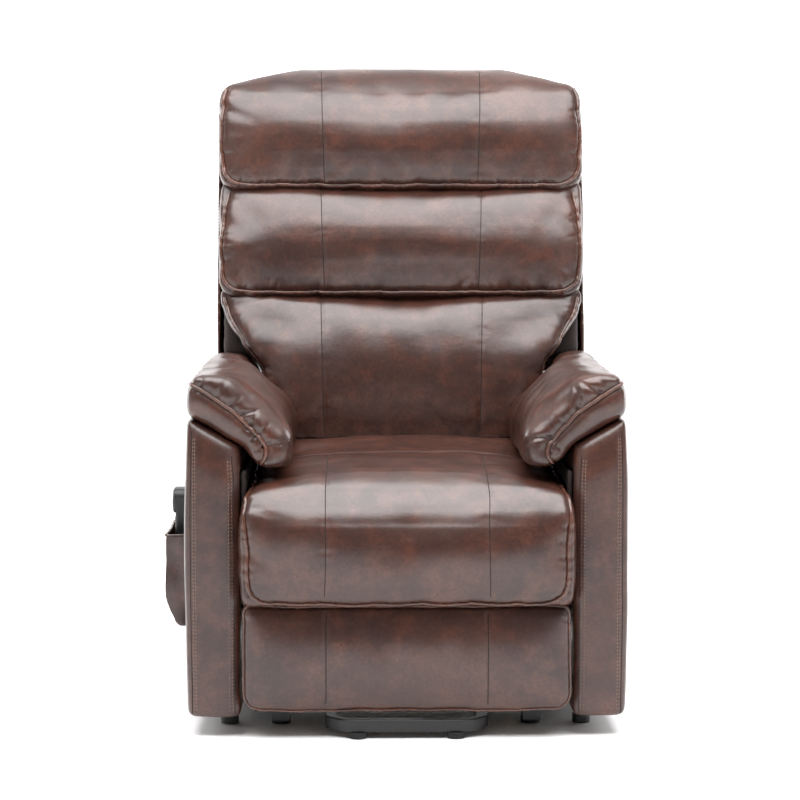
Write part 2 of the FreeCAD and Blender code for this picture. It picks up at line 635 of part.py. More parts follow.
def recline_hinges():
    centre = ("recline_y", "recline_z")
    y, z = cell("recline_y"), cell("recline_z")
    outline = [(60, 178, 6), (145, 178, 6), (y + 19, z + 19, 19), (y - 19, z + 19, 19)]
    plate = profile("YZ_Plane", "frame_out + 1", 4, outline)
    spacer = block(("frame_out", 70, 184), ("frame_out + 1", 135, 216))
    hole = bar("x", "hinge_pin", centre, "frame_out - 1", "frame_out + 6")
    keep("recline_hinge_brackets", both_sides(carved(joined(plate, spacer), hole,
                                                     bar("x", 9.2, (ARM_BOLTS[1], "bolt_line"), 255, 275))))
    pins = joined(bar("x", "hinge_pin", centre, 243, "frame_out + 5"),
                  bar("x", 13, centre, "frame_out + 5", "frame_out + 8"))
    keep("recline_hinge_pins", both_sides(pins))


def back_hinge_brackets():
    outline = [(-19, -19, 18), (50, -19, 18), (50, 250, 6), (14, 250, 6), (14, 100, 8)]
    plate = profile("YZ_Plane", 245, 5, outline)
    spacer = bar("x", 16, (0, 0), 250, "frame_out - 0.5")
    hole = bar("x", "hinge_hole", (0, 0), 240, "frame_out + 2")
    keep("back_hinge_brackets", lean(both_sides(carved(joined(plate, spacer), hole))))


def back_frame():
    rails = both_sides(block((215, 12, "lumbar_low + 2"), (245, 52, 745)))
    crosses = [block((-215, 12, low), (215, 52, high)) for low, high in ((100, 140), (340, 375), (705, 745))]
    wings = both_sides(block((245, 12, 300), (318, 34, 700)))
    brackets = both_sides(block((244.9, 10, 90), (250.1, 52.5, 251)))
    return keep("back_frame", lean(carved(joined(rails, *crosses, wings), brackets)))


def back_webbing():
    bands = [block((-215, 14, low), (215, 16, low + 50)) for low in (175, 250, 410, 490, 570, 645)]
    return keep("back_webbing", lean(joined(*bands)))


def back_lever():
    centre = ("lever_y", "lever_z")
    tube = carved(bar("x", 12.5, centre, -245, 245), bar("x", 10, centre, -250, 250))
    plates = [carved(plate, bar("x", 11, centre, "-back_side - 20", "-back_side + 20"))
              for plate in lever("lever", "back_eye", "-back_side", "back_spread", "eye_hole")]
    return keep("back_lever", joined(tube, *plates))


def back_cushions():
    narrow, wide = cell("narrow_half"), cell("wide_half")
    low, top, middle, head = (cell(n) for n in ("lumbar_low", "lumbar_top", "middle_top", "head_top"))
    right = [(narrow, low, 30), (narrow, 266, 60), (wide - 4, 324, 36), (wide - 4, top, 14)]
    shapes = {
        "lumbar_cushion": right + [(-u, v, r) for u, v, r in reversed(right)],
        "middle_cushion": [(wide, top + 1, 34), (wide, middle, 14), (-wide, middle, 14), (-wide, top + 1, 34)],
        "head_cushion": [(wide, middle + 1, 34), (wide, cell("head_corner"), 34), (190, head, 160),
                         (-190, head, 160), (-wide, cell("head_corner"), 34), (-wide, middle + 1, 34)],
    }
    for name, outline in shapes.items():
        body = profile("XZ_Plane", "-cushion_back", "cushion_back - cushion_front", outline, 12,
                       lambda edge: edge.BoundBox.YMax < cell("cushion_front") + 1)
        keep(name, lean(body))


def back_shell():
    """Upholstered outside of the back: a rear panel, and a border of two side panels and a top panel."""
    half, narrow, low, top = (cell(n) for n in ("shell_half", "shell_narrow", "lumbar_low", "head_top"))
    front, back, wall = cell("cushion_back") + 0.4, cell("shell_back"), cell("shell_wall")
    shoulder, waist = cell("head_corner") - 12, 268

    def outline(inset, bottom):
        right = [(narrow - inset, bottom, 0), (narrow - inset, waist + inset, 8),
                 (half - inset, waist + inset, 20), (half - inset, shoulder - inset, 40)]
        left = [(-u, v, r) for u, v, r in reversed(right)]
        return right + [(185, top - 16 - inset, 120), (-185, top - 16 - inset, 120)] + left

    outer = profile("XZ_Plane", -back, back - front, outline(0, low - 12), 10,
                    lambda edge: edge.BoundBox.YMin > back - 1)
    inner = profile("XZ_Plane", -back + wall, back - front + 10, outline(wall, low - 30))
    shell = carved(outer, inner)
    ahead = block((-half - 10, front - 10, low - 40), (half + 10, back - wall, top + 10))
    above = block((-half - 10, front - 10, shoulder - 40), (half + 10, back - wall, top + 10))
    beside = block((-half - 10, front - 10, low - 40), (half + 10, back - wall, shoulder - 40))
    keep("back_cover", lean(carved(shell, ahead)))
    panels = []
    for zone in (above, beside):
        common = doc.addObject("Part::Common", "panel")
        common.Base, common.Tool = shell, zone
        panels.append(common)
    group = doc.addObject("Part::Compound", "border")
    group.Links = panels
    keep("back_border", lean(group))


# ---- footrest -----------------------------------------------------------------------------------------

def footrest_links():
    drive = link("drive_in", "link_gauge", "crank_half", [("drive", "drive_end"), ("drive_end", "ear")],
                 [("drive", "mid_hole"), ("drive_end", "small_pin"), ("ear", "small_pin")])
    keep("footrest_drive_links", both_sides(drive))
    crank = link("front_crank_in", "link_gauge", "crank_half", [("crank", "crank_end")],
                 [("crank", "mid_hole"), ("crank_end", "loose_small_hole")])
    keep("footrest_front_links", both_sides(crank))
    long_link = link("long_link_in", "link_gauge", "link_half",
                     [("drive_end", "bend"), ("bend", "board_pin"), ("drive_end", "crank_end")],
                     [("drive_end", "small_hole"), ("board_pin", "small_hole"), ("crank_end", "small_pin")])
    stud = bar("x", "small_pin", ("crank_end_y", "crank_end_z"), "front_crank_in", "long_link_in + link_gauge")
    keep("footrest_long_links", both_sides(joined(long_link, stud)))
    control = link("control_in", "link_gauge", "link_half",
                   [("ear", "control_bend"), ("control_bend", "board_ear")],
                   [("ear", "small_hole"), ("board_ear", "loose_small_hole")])
    keep("footrest_control_links", both_sides(control))


def footrest_pins():
    drive_end, ear = ("drive_end_y", "drive_end_z"), ("ear_y", "ear_z")
    pins = [bar("x", "small_pin", drive_end, "long_link_in - 0.5", "drive_in + link_gauge"),
            bar("x", "small_pin", ear, "drive_in", "control_in + link_gauge + 0.5")]
    keep("drive_link_pins", both_sides(joined(*pins)))
    board_pin, board_ear = ("board_pin_y", "board_pin_z"), ("board_ear_y", "board_ear_z")
    pins = [bar("x", "small_pin", board_pin, "long_link_in - 0.5", "drive_in + link_gauge"),
            bar("x", "small_pin", board_ear, "drive_in", "control_in + link_gauge + 0.5")]
    keep("bracket_pins", both_sides(joined(*pins)))
    drive, crank = ("drive_y", "drive_z"), ("crank_y", "crank_z")
    pins = [bar("x", "mid_pin", drive, "drive_in", "plate_out"),
            bar("x", "mid_pin", crank, "front_crank_in", "plate_out")]
    keep("footrest_pivot_pins", both_sides(joined(*pins)))
    tube = carved(bar("x", 11, drive, -195, 195), bar("x", 8.5, drive, -191, 191))
    stub = bar("x", 5.5, drive, 193, "drive_in")
    keep("footrest_torque_tube", joined(tube, both_sides(stub)))


def footrest_board():
    low, top, half = cell("foot_low") + 8, cell("foot_top") - 8, cell("board_half")
    outline = [(-half, low, 24), (half, low, 24), (half, top, 4), (-half, top, 4)]
    board = profile("XZ_Plane", "-board_back", "board_back - foot_back", outline)
    keep("footrest_board", board)
    low, top, half = cell("foot_low"), cell("foot_top"), cell("foot_half")
    outline = [(-half, low, 30), (half, low, 30), (half, top, 10), (-half, top, 10)]
    cushion = profile("XZ_Plane", "-foot_back", "foot_back - foot_front", outline, 14,
                      lambda edge: edge.BoundBox.YMax < cell("foot_front") + 1)
    keep("footrest_pad", cushion)


def footrest_brackets():
    back, pin_y, pin_z = (cell(n) for n in ("board_back", "board_pin_y", "board_pin_z"))
    ear_y, ear_z = cell("board_ear_y"), cell("board_ear_z")
    outline = [(back, 120, 2), (back, 210, 2), (ear_y + 2, ear_z + 10, 8), (ear_y + 9, ear_z - 8, 8),
               (pin_y + 8, pin_z - 14, 10), (back + 10, 120, 4)]
    plate = profile("YZ_Plane", "drive_in", "link_gauge", outline)
    holes = [bar("x", "small_pin", (f"{stem}_y", f"{stem}_z"), "drive_in - 1", "drive_in + 5")
             for stem in ("board_pin", "board_ear")]
    flange = block(("drive_in - 18", "board_back", 118), ("drive_in + 0.5", "board_back + 3", 172))
    keep("footrest_brackets", both_sides(joined(carved(plate, *holes), flange)))


# ---- handset ------------------------------------------------------------------------------------------

def handset():
    inner, outer = -cell("handset_in"), -cell("handset_out")
    middle = (cell("pocket_front") + cell("pocket_rear")) / 2
    grip = [(middle - 26, 194, 14), (middle + 26, 194, 14), (middle + 29, 386, 16), (middle - 29, 386, 16)]
    crown = [(middle - 28, 346, 6), (middle + 28, 346, 6), (middle + 29.5, 387, 16), (middle - 29.5, 387, 16)]
    body = profile("YZ_Plane", outer, inner - outer, grip, 5, flat_in("x"))
    head = profile("YZ_Plane", outer - 4, 26, crown, 4, flat_in("x"))
    buttons = {"up_button": 362, "down_button": 328}
    sockets = [bar("x", 9.3, (middle, z), outer - 8, outer + 4) for z in buttons.values()]
    keep("handset_body", carved(joined(body, head), *sockets))
    for name, face in (("up_button", outer - 6), ("down_button", outer - 2)):
        keep(name, bar("x", 9, (middle, buttons[name]), face, outer + 2.5))


# ---- build and export -----------------------------------------------------------------------------------

def main():
    base_frame()
    front_foot_bar()
    base_feet()
    rail_end_caps()
    base_link_brackets()
    base_pivot_bolts()
    rear_lift_arms()
    lift_torque_tube()
    front_lift_links()
    actuator("lift_motor", "lift_actuator_tube", "lift_actuator_rod", "lift_end", "lift_eye",
             cell("lift_side"), 1, 300, 110, "lift_spread")
    mechanism_side_plates()
    mechanism_cross_tubes()
    chair_pivot_bolts()
    seat_frame()
    seat_springs()
    seat_cushion()
    arm_frames()
    arm_covers()
    arm_pads()
    arm_feet()
    frame_bolts()
    side_pocket()
    control_box()
    recline_hinges()
    back_hinge_brackets()
    back_frame()
    back_webbing()
    back_lever()
    back_cushions()
    back_shell()
    actuator("back_motor", "back_actuator_tube", "back_actuator_rod", "back_end", "back_eye",
             -cell("back_side"), -1, 245, 160, "back_spread")
    footrest_links()
    footrest_pins()
    footrest_board()
    footrest_brackets()
    handset()
    doc.recompute()
    failed = [item for item in doc.Objects if {"Invalid", "Error"} & set(item.State)]
    if failed:
        raise ValueError([(item.Label, [user.Label for user in item.InListRecursive]) for item in failed])
    os.makedirs("parts", exist_ok=True)
    for name, item in nodes.items():
        shape = item.Shape
        if shape.isNull() or not shape.isValid() or not shape.Solids:
            raise ValueError(f"{name} has no valid solid")
    for name, item in nodes.items():
        item.Shape.exportStep(f"parts/{name}.step")
    print(len(nodes), "sub-parts written")


main()
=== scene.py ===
import functools
import json
import math

import bpy
import numpy as np
from bpy.props import FloatProperty, FloatVectorProperty, PointerProperty
from mathutils.bvhtree import BVHTree
from mathutils.kdtree import KDTree
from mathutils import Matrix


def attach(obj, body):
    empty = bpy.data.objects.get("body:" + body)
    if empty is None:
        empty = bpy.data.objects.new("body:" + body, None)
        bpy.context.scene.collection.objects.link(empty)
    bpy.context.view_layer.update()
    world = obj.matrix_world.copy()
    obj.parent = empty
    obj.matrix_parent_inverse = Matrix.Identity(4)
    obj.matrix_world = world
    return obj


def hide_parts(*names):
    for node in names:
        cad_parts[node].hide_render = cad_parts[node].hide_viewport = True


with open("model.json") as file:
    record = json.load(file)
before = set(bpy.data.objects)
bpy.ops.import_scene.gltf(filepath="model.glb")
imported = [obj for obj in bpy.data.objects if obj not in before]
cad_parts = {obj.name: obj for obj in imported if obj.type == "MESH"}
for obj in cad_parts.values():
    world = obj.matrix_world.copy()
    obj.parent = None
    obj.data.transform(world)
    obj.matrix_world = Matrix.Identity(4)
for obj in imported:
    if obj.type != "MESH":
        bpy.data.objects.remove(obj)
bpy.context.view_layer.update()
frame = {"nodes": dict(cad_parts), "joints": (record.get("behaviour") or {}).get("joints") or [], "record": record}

bl_info = {
    "name": "Lift recliner upholstery",
    "version": (1, 0, 0),
    "blender": (4, 5, 0),
    "location": "3D View > Sidebar > Recliner",
    "description": "Leather upholstery, finishes and studio for the lift recliner chair",
    "category": "Object",
}

# Lengths in this file are metres. The sitter faces -Y, +Z is up, and the back's pieces are shaped in
# the back's own frame: x across, y rearwards, z up the back, from the recline pivot.
MM = 0.001
RECLINE = next(j for j in frame["joints"] if j["name"] == "recline")
PIVOT = np.array(RECLINE["pos_m"])
LEAN = math.radians(12)
SIDES = {"left": 1, "right": -1}
# the cloth runs this long, and slides a point along its surface no further than this
CLOTH_FRAMES = 20
ASIDE_CAP = 4 * MM
# the back cushions as packed: half their width, and how far their fronts stand before the pivot
CUSHION_HALF, CUSHION_DEPTH = 335 * MM, 95 * MM


# ---- selection, copies and modifiers ------------

def activate(*pieces):
    """Selects only these objects, the last one active."""
    if bpy.context.mode != "OBJECT":
        bpy.ops.object.mode_set(mode="OBJECT")
    bpy.ops.object.select_all(action="DESELECT")
    for piece in pieces:
        piece.select_set(True)
        bpy.context.view_layer.objects.active = piece


def use_modifier(piece, kind, **settings):
    activate(piece)
    modifier = piece.modifiers.new(kind.lower(), kind)
    for name, value in settings.items():
        setattr(modifier, name, value)
    bpy.ops.object.modifier_apply(modifier=modifier.name)


def merged_copy(name, *nodes):
    """A new piece with the joined and merged meshes of CAD nodes."""
    copies = []
    for node in nodes:
        copy = bpy.data.objects.new(name, frame["nodes"][node].data.copy())
        bpy.context.scene.collection.objects.link(copy)
        copies.append(copy)
    activate(*copies)
    if len(copies) > 1:
        bpy.ops.object.join()
    piece = bpy.context.view_layer.objects.active
    piece.name = name
    piece.data.materials.clear()
    bpy.ops.object.mode_set(mode="EDIT")
    bpy.ops.mesh.select_all(action="SELECT")
    bpy.ops.mesh.remove_doubles(threshold=0.00001)
    bpy.ops.object.mode_set(mode="OBJECT")
    return piece


def face_out(piece):
    """Turns every face of a closed piece outwards."""
    activate(piece)
    bpy.ops.object.mode_set(mode="EDIT")
    bpy.ops.mesh.select_all(action="SELECT")
    bpy.ops.mesh.normals_make_consistent(inside=False)
    bpy.ops.object.mode_set(mode="OBJECT")


def box(name, low, high):
    """A box between two corners given in millimetres."""
    activate()
    bpy.ops.mesh.primitive_cube_add(size=1)
    piece = bpy.context.object
    piece.name = name
    low, high = np.array(low) * MM, np.array(high) * MM
    put_points(piece, low + (points_of(piece) + 0.5) * (high - low))
    return piece


def points_of(piece, what="co"):
    flat = np.empty(len(piece.data.vertices) * 3)
    piece.data.vertices.foreach_get(what, flat)
    return flat.reshape(-1, 3)


def put_points(piece, points):
    piece.data.vertices.foreach_set("co", np.ascontiguousarray(points).ravel())
    piece.data.update()


def shift(piece, offset):
    """Moves each point along its normal."""
    put_points(piece, points_of(piece) + points_of(piece, "normal") * offset[:, None])


def to_back(points):
    """From the chair's frame to the back's own frame."""
    x, y, z = (np.asarray(points) - PIVOT).T
    return np.column_stack([x, y * math.cos(LEAN) - z * math.sin(LEAN),
                            y * math.sin(LEAN) + z * math.cos(LEAN)])


def from_back(points):
    x, y, z = np.asarray(points).T
    return PIVOT + np.column_stack([x, y * math.cos(LEAN) + z * math.sin(LEAN),
                                    -y * math.sin(LEAN) + z * math.cos(LEAN)])


def ramp(value, low, high):
    """0 below low, 1 above high, and a smooth step between."""
    t = np.clip((value - low) / (high - low), 0, 1)
    return t * t * (3 - 2 * t)


# ---- paths on a surface ------------

def resample(path, step=3 * MM):
    path = np.asarray(path, float)
    run = np.r_[0, np.cumsum(np.linalg.norm(np.diff(path, axis=0), axis=1))]
    at = np.linspace(0, run[-1], max(2, int(run[-1] / step) + 1))
    return np.column_stack([np.interp(at, run, path[:, k]) for k in range(3)])


def soften(path, rounds):
    path = path.copy()
    for _ in range(rounds):
        path[1:-1] = path[1:-1] * 0.5 + (path[:-2] + path[2:]) * 0.25
    return path


def settle(path, piece, lift=0.0, rounds=2, smooth=6):
    """Lays a path on a piece's surface, standing off it by lift."""
    tree = BVHTree.FromObject(piece, bpy.context.evaluated_depsgraph_get())
    path = resample(path)
    for _ in range(rounds):
        path = np.array([tree.find_nearest(point)[0] for point in path])
        path = soften(resample(path), smooth)
    hits = [tree.find_nearest(point) for point in path]
    return np.array([hit[0] + hit[1] * lift for hit in hits])


def nearest(path, points):
    """Each point's distance to a path, and how far along the path it is."""
    tree = KDTree(len(path))
    for index, point in enumerate(path):
        tree.insert(point, index)
    tree.balance()
    index = np.array([tree.find(point)[1] for point in points])
    run = np.r_[0, np.cumsum(np.linalg.norm(np.diff(path, axis=0), axis=1))]
    tangent = np.gradient(path, axis=0)
    tangent /= np.linalg.norm(tangent, axis=1)[:, None]
    offset = points - path[index]
    along = (offset * tangent[index]).sum(axis=1)
    end = (index == 0) | (index == len(path) - 1)
    along = np.where(end, 0, along)
    return np.linalg.norm(offset - along[:, None] * tangent[index], axis=1), run[index] + along


def groove(piece, path, depth, width):
    distance, _ = nearest(path, points_of(piece))
    shift(piece, -depth * np.exp(-(distance / width) ** 2))


def gather(piece, path, spacing, depth, reach, seed, tilt=0.5, keep=None, sharp=1.0):
    """Creases that run off a seam, where the leather is gathered into it."""
    draw = np.random.default_rng(seed)
    points = points_of(piece)
    distance, run = nearest(path, points)
    offset = np.zeros(len(points))
    at, end = spacing, run.max()
    while at < end:
        size, width = depth * draw.uniform(0.35, 1), spacing * draw.uniform(0.16, 0.3) * sharp
        length, slant = reach * draw.uniform(0.45, 1.1), draw.uniform(-tilt, tilt)
        near = (distance < length) & (np.abs(run - at) < 3 * spacing)
        fade = (1 - distance[near] / length) ** 1.3 * np.minimum(distance[near] / (4 * MM), 1)
        offset[near] -= size * fade * np.exp(-((run[near] - at - slant * distance[near]) / width) ** 2)
        at += spacing * draw.uniform(0.65, 1.4)
    if keep is not None:
        offset *= keep(points)
    shift(piece, offset)


def tube(name, path, radius, look, body):
    """A round cord along a path: piping, or the dark line of painted shadow in a seam."""
    curve = bpy.data.curves.new(name, "CURVE")
    curve.dimensions = "3D"
    curve.bevel_depth, curve.bevel_resolution, curve.use_fill_caps = radius, 2, True
    spline = curve.splines.new("POLY")
    spline.points.add(len(path) - 1)
    spline.points.foreach_set("co", np.column_stack([path, np.ones(len(path))]).ravel())
    piece = bpy.data.objects.new(name, curve)
    bpy.context.scene.collection.objects.link(piece)
    activate(piece)
    bpy.ops.object.convert(target="MESH")
    return dress(bpy.context.view_layer.objects.active, look, body)


def panel_seam(name, piece, line, depth, body, creases=(), width=4.5 * MM):
    """A flat seam: a groove, the creases that run off it, and a dark line of painted shadow at its bottom."""
    groove(piece, line, depth, width)
    if creases:
        gather(piece, line, *creases)
    radius = bpy.context.scene.recliner_sewing.seam_radius
    sunk = -0.1 * MM
    tube(name, settle(line, piece, sunk, 1), radius, "seam", body)


def stitches(name, paths, piece, body, pitch=6, length=4 * MM, radius=0.65 * MM):
    """Thread stitches laid along paths every pitch millimetres, each a short four-sided bead."""
    tree = BVHTree.FromObject(piece, bpy.context.evaluated_depsgraph_get())
    vertices, faces = [], []
    ring = [(math.cos(a), math.sin(a)) for a in np.arange(4) * math.pi / 2]
    for path in paths:
        path = resample(path, 1 * MM)
        for start in range(pitch, len(path) - pitch, pitch):
            middle = path[start]
            along = path[start + 1] - path[start - 1]
            along /= np.linalg.norm(along)
            hit = tree.find_nearest(middle)
            up = np.array(hit[1])
            across = np.cross(up, along)
            first = len(vertices)
            for place, size in ((-0.5, 0.25), (-0.2, 1), (0.2, 1), (0.5, 0.25)):
                for a, b in ring:
                    vertices.append(np.array(hit[0]) + along * place * length
                                    + (across * a + up * b) * size * radius)
            for row in range(3):
                for k in range(4):
                    a, b = first + row * 4 + k, first + row * 4 + (k + 1) % 4
                    faces.append((a, b, b + 4, a + 4))
            faces.append((first + 3, first + 2, first + 1, first))
            faces.append((first + 12, first + 13, first + 14, first + 15))
    mesh = bpy.data.meshes.new(name)
    mesh.from_pydata([tuple(v) for v in vertices], [], faces)
    thread = bpy.data.objects.new(name, mesh)
    bpy.context.scene.collection.objects.link(thread)
    face_out(thread)
    return dress(thread, "thread", body)


# ---- cushions ------------

def inflate(piece, held, pressure, cap, slack):
    """Swells a cushion with cloth under pressure; held points stay, and none moves more than cap."""
    start = points_of(piece)
    group = piece.vertex_groups.new(name="held")
    group.add(np.flatnonzero(held).tolist(), 1.0, "REPLACE")
    activate(piece)
    cloth = piece.modifiers.new("cloth", "CLOTH")
    settings = cloth.settings
    settings.quality = 4
    settings.mass = 0.3
    settings.use_pressure = True
    settings.uniform_pressure_force = pressure
    settings.vertex_group_mass = "held"
    settings.shrink_min = -slack
    settings.effector_weights.gravity = 0
    cloth.collision_settings.use_collision = False
    scene = bpy.context.scene
    for step in range(1, CLOTH_FRAMES + 1):
        scene.frame_set(step)
    bpy.ops.object.modifier_apply(modifier=cloth.name)
    scene.frame_set(1)
    piece.vertex_groups.clear()
    swollen = points_of(piece)
    put_points(piece, start)
    normal = points_of(piece, "normal")
    move = swollen - start
    out = (move * normal).sum(axis=1)
    aside = move - out[:, None] * normal
    size = np.linalg.norm(aside, axis=1)
    aside *= np.minimum(1, ASIDE_CAP / np.maximum(size, 1e-9))[:, None]
    out = cap * np.tanh(out / cap)
    out = even(piece, out, 14)
    put_points(piece, start + out[:, None] * normal + aside * 0.5)
    use_modifier(piece, "SMOOTH", factor=0.5, iterations=3)


def even(piece, values, rounds):
    """Spreads a value over neighbouring points."""
    edges = np.empty(len(piece.data.edges) * 2, dtype=np.int64)
    piece.data.edges.foreach_get("vertices", edges)
    first, second = edges.reshape(-1, 2).T
    count = np.bincount(np.r_[first, second], minlength=len(values))
    for _ in range(rounds):
        total = (np.bincount(first, values[second], len(values))
                 + np.bincount(second, values[first], len(values)))
        values = 0.5 * values + 0.5 * total / np.maximum(count, 1)
    return values


def remesh(piece, voxel, smooth=0):
    use_modifier(piece, "REMESH", mode="VOXEL", voxel_size=voxel)
    if smooth:
        use_modifier(piece, "SMOOTH", factor=0.5, iterations=smooth)


def subdivide(piece):
    use_modifier(piece, "SUBSURF", levels=1, render_levels=1)


def unevenness(piece, height, length, seed):
    """Soft waviness, as foam and fibre fill give under leather."""
    draw = np.random.default_rng(seed)
    points = points_of(piece)
    offset = np.zeros(len(points))
    for _ in range(14):
        direction = draw.normal(size=3)
        direction *= 2 * math.pi / (length * draw.uniform(0.6, 1.8) * np.linalg.norm(direction))
        offset += np.sin(points @ direction + draw.uniform(0, 6.28))
    shift(piece, offset * height / 4)


def dress(piece, look, body, *nodes, fill=None):
    """Shades a finished piece, gives it its material and says what it rides on and replaces."""
    activate(piece)
    bpy.ops.object.shade_smooth()
    piece.data.materials.clear()
    piece.data.materials.append(material_of(look))
    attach(piece, body)
    if nodes:
        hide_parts(*nodes)
    return piece


# ---- materials ------------

def linear(colour):
    """An sRGB hex colour as linear red, green, blue and alpha."""
    parts = [int(colour[k:k + 2], 16) / 255 for k in (1, 3, 5)]
    return tuple(c / 12.92 if c <= 0.04045 else ((c + 0.055) / 1.055) ** 2.4 for c in parts) + (1.0,)


def add_node(tree, kind, inputs=None, **settings):
    """Adds a shader node with its settings, and sets or links its inputs."""
    node = tree.nodes.new("ShaderNode" + kind)
    for name, value in settings.items():
        setattr(node, name, value)
    for name, value in (inputs or {}).items():
        if isinstance(value, bpy.types.NodeSocket):
            tree.links.new(value, node.inputs[name])
        else:
            node.inputs[name].default_value = value
    return node


def per_size(millimetres):
    """The scale of a pattern whose features are this large."""
    return 1000 / millimetres


def new_material(name):
    material = bpy.data.materials.new(name)
    material.use_nodes = True
    tree = material.node_tree
    tree.nodes.clear()
    shader = add_node(tree, "BsdfPrincipled")
    add_node(tree, "OutputMaterial", {"Surface": shader.outputs["BSDF"]})
    place = add_node(tree, "TexCoord").outputs["Object"]
    return material, tree, shader, place


def blend_colours(tree, factor, low, high, first, second):
    """Mixes two colours as a pattern goes from low to high."""
    amount = add_node(tree, "MapRange", {"Value": factor, "From Min": low, "From Max": high}).outputs[0]
    mix = add_node(tree, "Mix", data_type="RGBA")
    tree.links.new(amount, mix.inputs["Factor"])
    for socket, colour in ((mix.inputs[6], first), (mix.inputs[7], second)):
        if isinstance(colour, bpy.types.NodeSocket):
            tree.links.new(colour, socket)
        else:
            socket.default_value = colour
    return mix.outputs[2]


def antiqued_leather(name, deep, body, worn, gloss=0.0):
    """Pull-up leather, dyed and waxed by hand: blotches of red-brown over near-black brown, a low
    sheen that is smoother where it is rubbed, and a fine pebble with soft creases between."""
    material, tree, shader, place = new_material(name)
    # size of the features in millimetres, then detail and roughness of the pattern
    blotch, cloud, speck, crease = (
        add_node(tree, "TexNoise", {"Vector": place, "Scale": per_size(size), "Detail": detail,
                                    "Roughness": rough}).outputs["Fac"]
        for size, detail, rough in ((150, 5, 0.6), (34, 4, 0.6), (5, 3, 0.6), (14, 6, 0.62)))
    colour = blend_colours(tree, blotch, 0.32, 0.72, deep, body)
    colour = blend_colours(tree, cloud, 0.45, 0.85, colour, worn)
    shade = blend_colours(tree, speck, 0.3, 0.75, linear("#c9bdb8"), linear("#ffffff"))
    tint = add_node(tree, "Mix", data_type="RGBA", blend_type="MULTIPLY")
    tint.inputs["Factor"].default_value = 1.0
    tree.links.new(colour, tint.inputs[6])
    tree.links.new(shade, tint.inputs[7])
    tree.links.new(tint.outputs[2], shader.inputs["Base Color"])
    rough = add_node(tree, "MapRange", {"Value": cloud, "From Min": 0.3, "From Max": 0.8,
                                        "To Min": 0.35 - gloss, "To Max": 0.26 - gloss}).outputs[0]
    tree.links.new(rough, shader.inputs["Roughness"])
    shader.inputs["IOR"].default_value = 1.5
    shader.inputs["Coat Weight"].default_value = 0.18
    shader.inputs["Coat Roughness"].default_value = 0.3
    pebble = add_node(tree, "TexVoronoi", {"Vector": place, "Scale": per_size(3.2), "Randomness": 1.0},
                      feature="DISTANCE_TO_EDGE").outputs["Distance"]
    fine = add_node(tree, "Bump", {"Height": pebble, "Strength": 0.12, "Distance": 0.0006})
    wide = add_node(tree, "Bump", {"Height": crease, "Strength": 0.22, "Distance": 0.0018,
                                   "Normal": fine.outputs["Normal"]})
    tree.links.new(wide.outputs["Normal"], shader.inputs["Normal"])
    return material


def main_leather():
    """The hide of the panels, in the colours of the settings."""
    hide = bpy.context.scene.recliner_leather
    return antiqued_leather("antiqued_leather", tuple(hide.deep), tuple(hide.body), tuple(hide.worn))


def plain_finish(name, colour, second, size, metallic, rough_low, rough_high, bump=0.0, ior=1.5):
    """A worked surface with its own colour change and roughness at one real size."""
    material, tree, shader, place = new_material(name)
    grain = add_node(tree, "TexNoise", {"Vector": place, "Scale": per_size(size), "Detail": 5,
                                        "Roughness": 0.6}).outputs["Fac"]
    tree.links.new(blend_colours(tree, grain, 0.3, 0.7, linear(colour), linear(second)),
                   shader.inputs["Base Color"])
    rough = add_node(tree, "MapRange", {"Value": grain, "From Min": 0.3, "From Max": 0.7,
                                        "To Min": rough_low, "To Max": rough_high}).outputs[0]
    tree.links.new(rough, shader.inputs["Roughness"])
    shader.inputs["Metallic"].default_value = metallic
    shader.inputs["IOR"].default_value = ior
    if bump:
        relief = add_node(tree, "Bump", {"Height": grain, "Strength": bump, "Distance": 0.0004})
        tree.links.new(relief.outputs["Normal"], shader.inputs["Normal"])
    return material


def birch_plywood():
    """Rotary-cut birch plywood: pale tan, long low-contrast grain, dry matt face."""
    material, tree, shader, place = new_material("birch_plywood")
    stretched = add_node(tree, "Mapping", {"Vector": place, "Scale": (0.12, 1.0, 1.0)}).outputs[0]
    grain = add_node(tree, "TexNoise", {"Vector": stretched, "Scale": per_size(9), "Detail": 6,
                                        "Roughness": 0.6}).outputs["Fac"]
    tree.links.new(blend_colours(tree, grain, 0.3, 0.7, linear("#b98f62"), linear("#d8b384")),
                   shader.inputs["Base Color"])
    shader.inputs["Roughness"].default_value = 0.7
    relief = add_node(tree, "Bump", {"Height": grain, "Strength": 0.25, "Distance": 0.0004})
    tree.links.new(relief.outputs["Normal"], shader.inputs["Normal"])
    return material


def woven_webbing():
    """Polypropylene seat webbing: black ribs across the band, dull sheen."""
    material, tree, shader, place = new_material("polypropylene_webbing")
    rib = add_node(tree, "TexWave", {"Vector": place, "Scale": per_size(5) / 2, "Distortion": 0.4},
                   bands_direction="X").outputs["Fac"]
    tree.links.new(blend_colours(tree, rib, 0.2, 0.8, linear("#121213"), linear("#3a3a3d")),
                   shader.inputs["Base Color"])
    shader.inputs["Roughness"].default_value = 0.8
    relief = add_node(tree, "Bump", {"Height": rib, "Strength": 0.5, "Distance": 0.0008})
    tree.links.new(relief.outputs["Normal"], shader.inputs["Normal"])
    return material


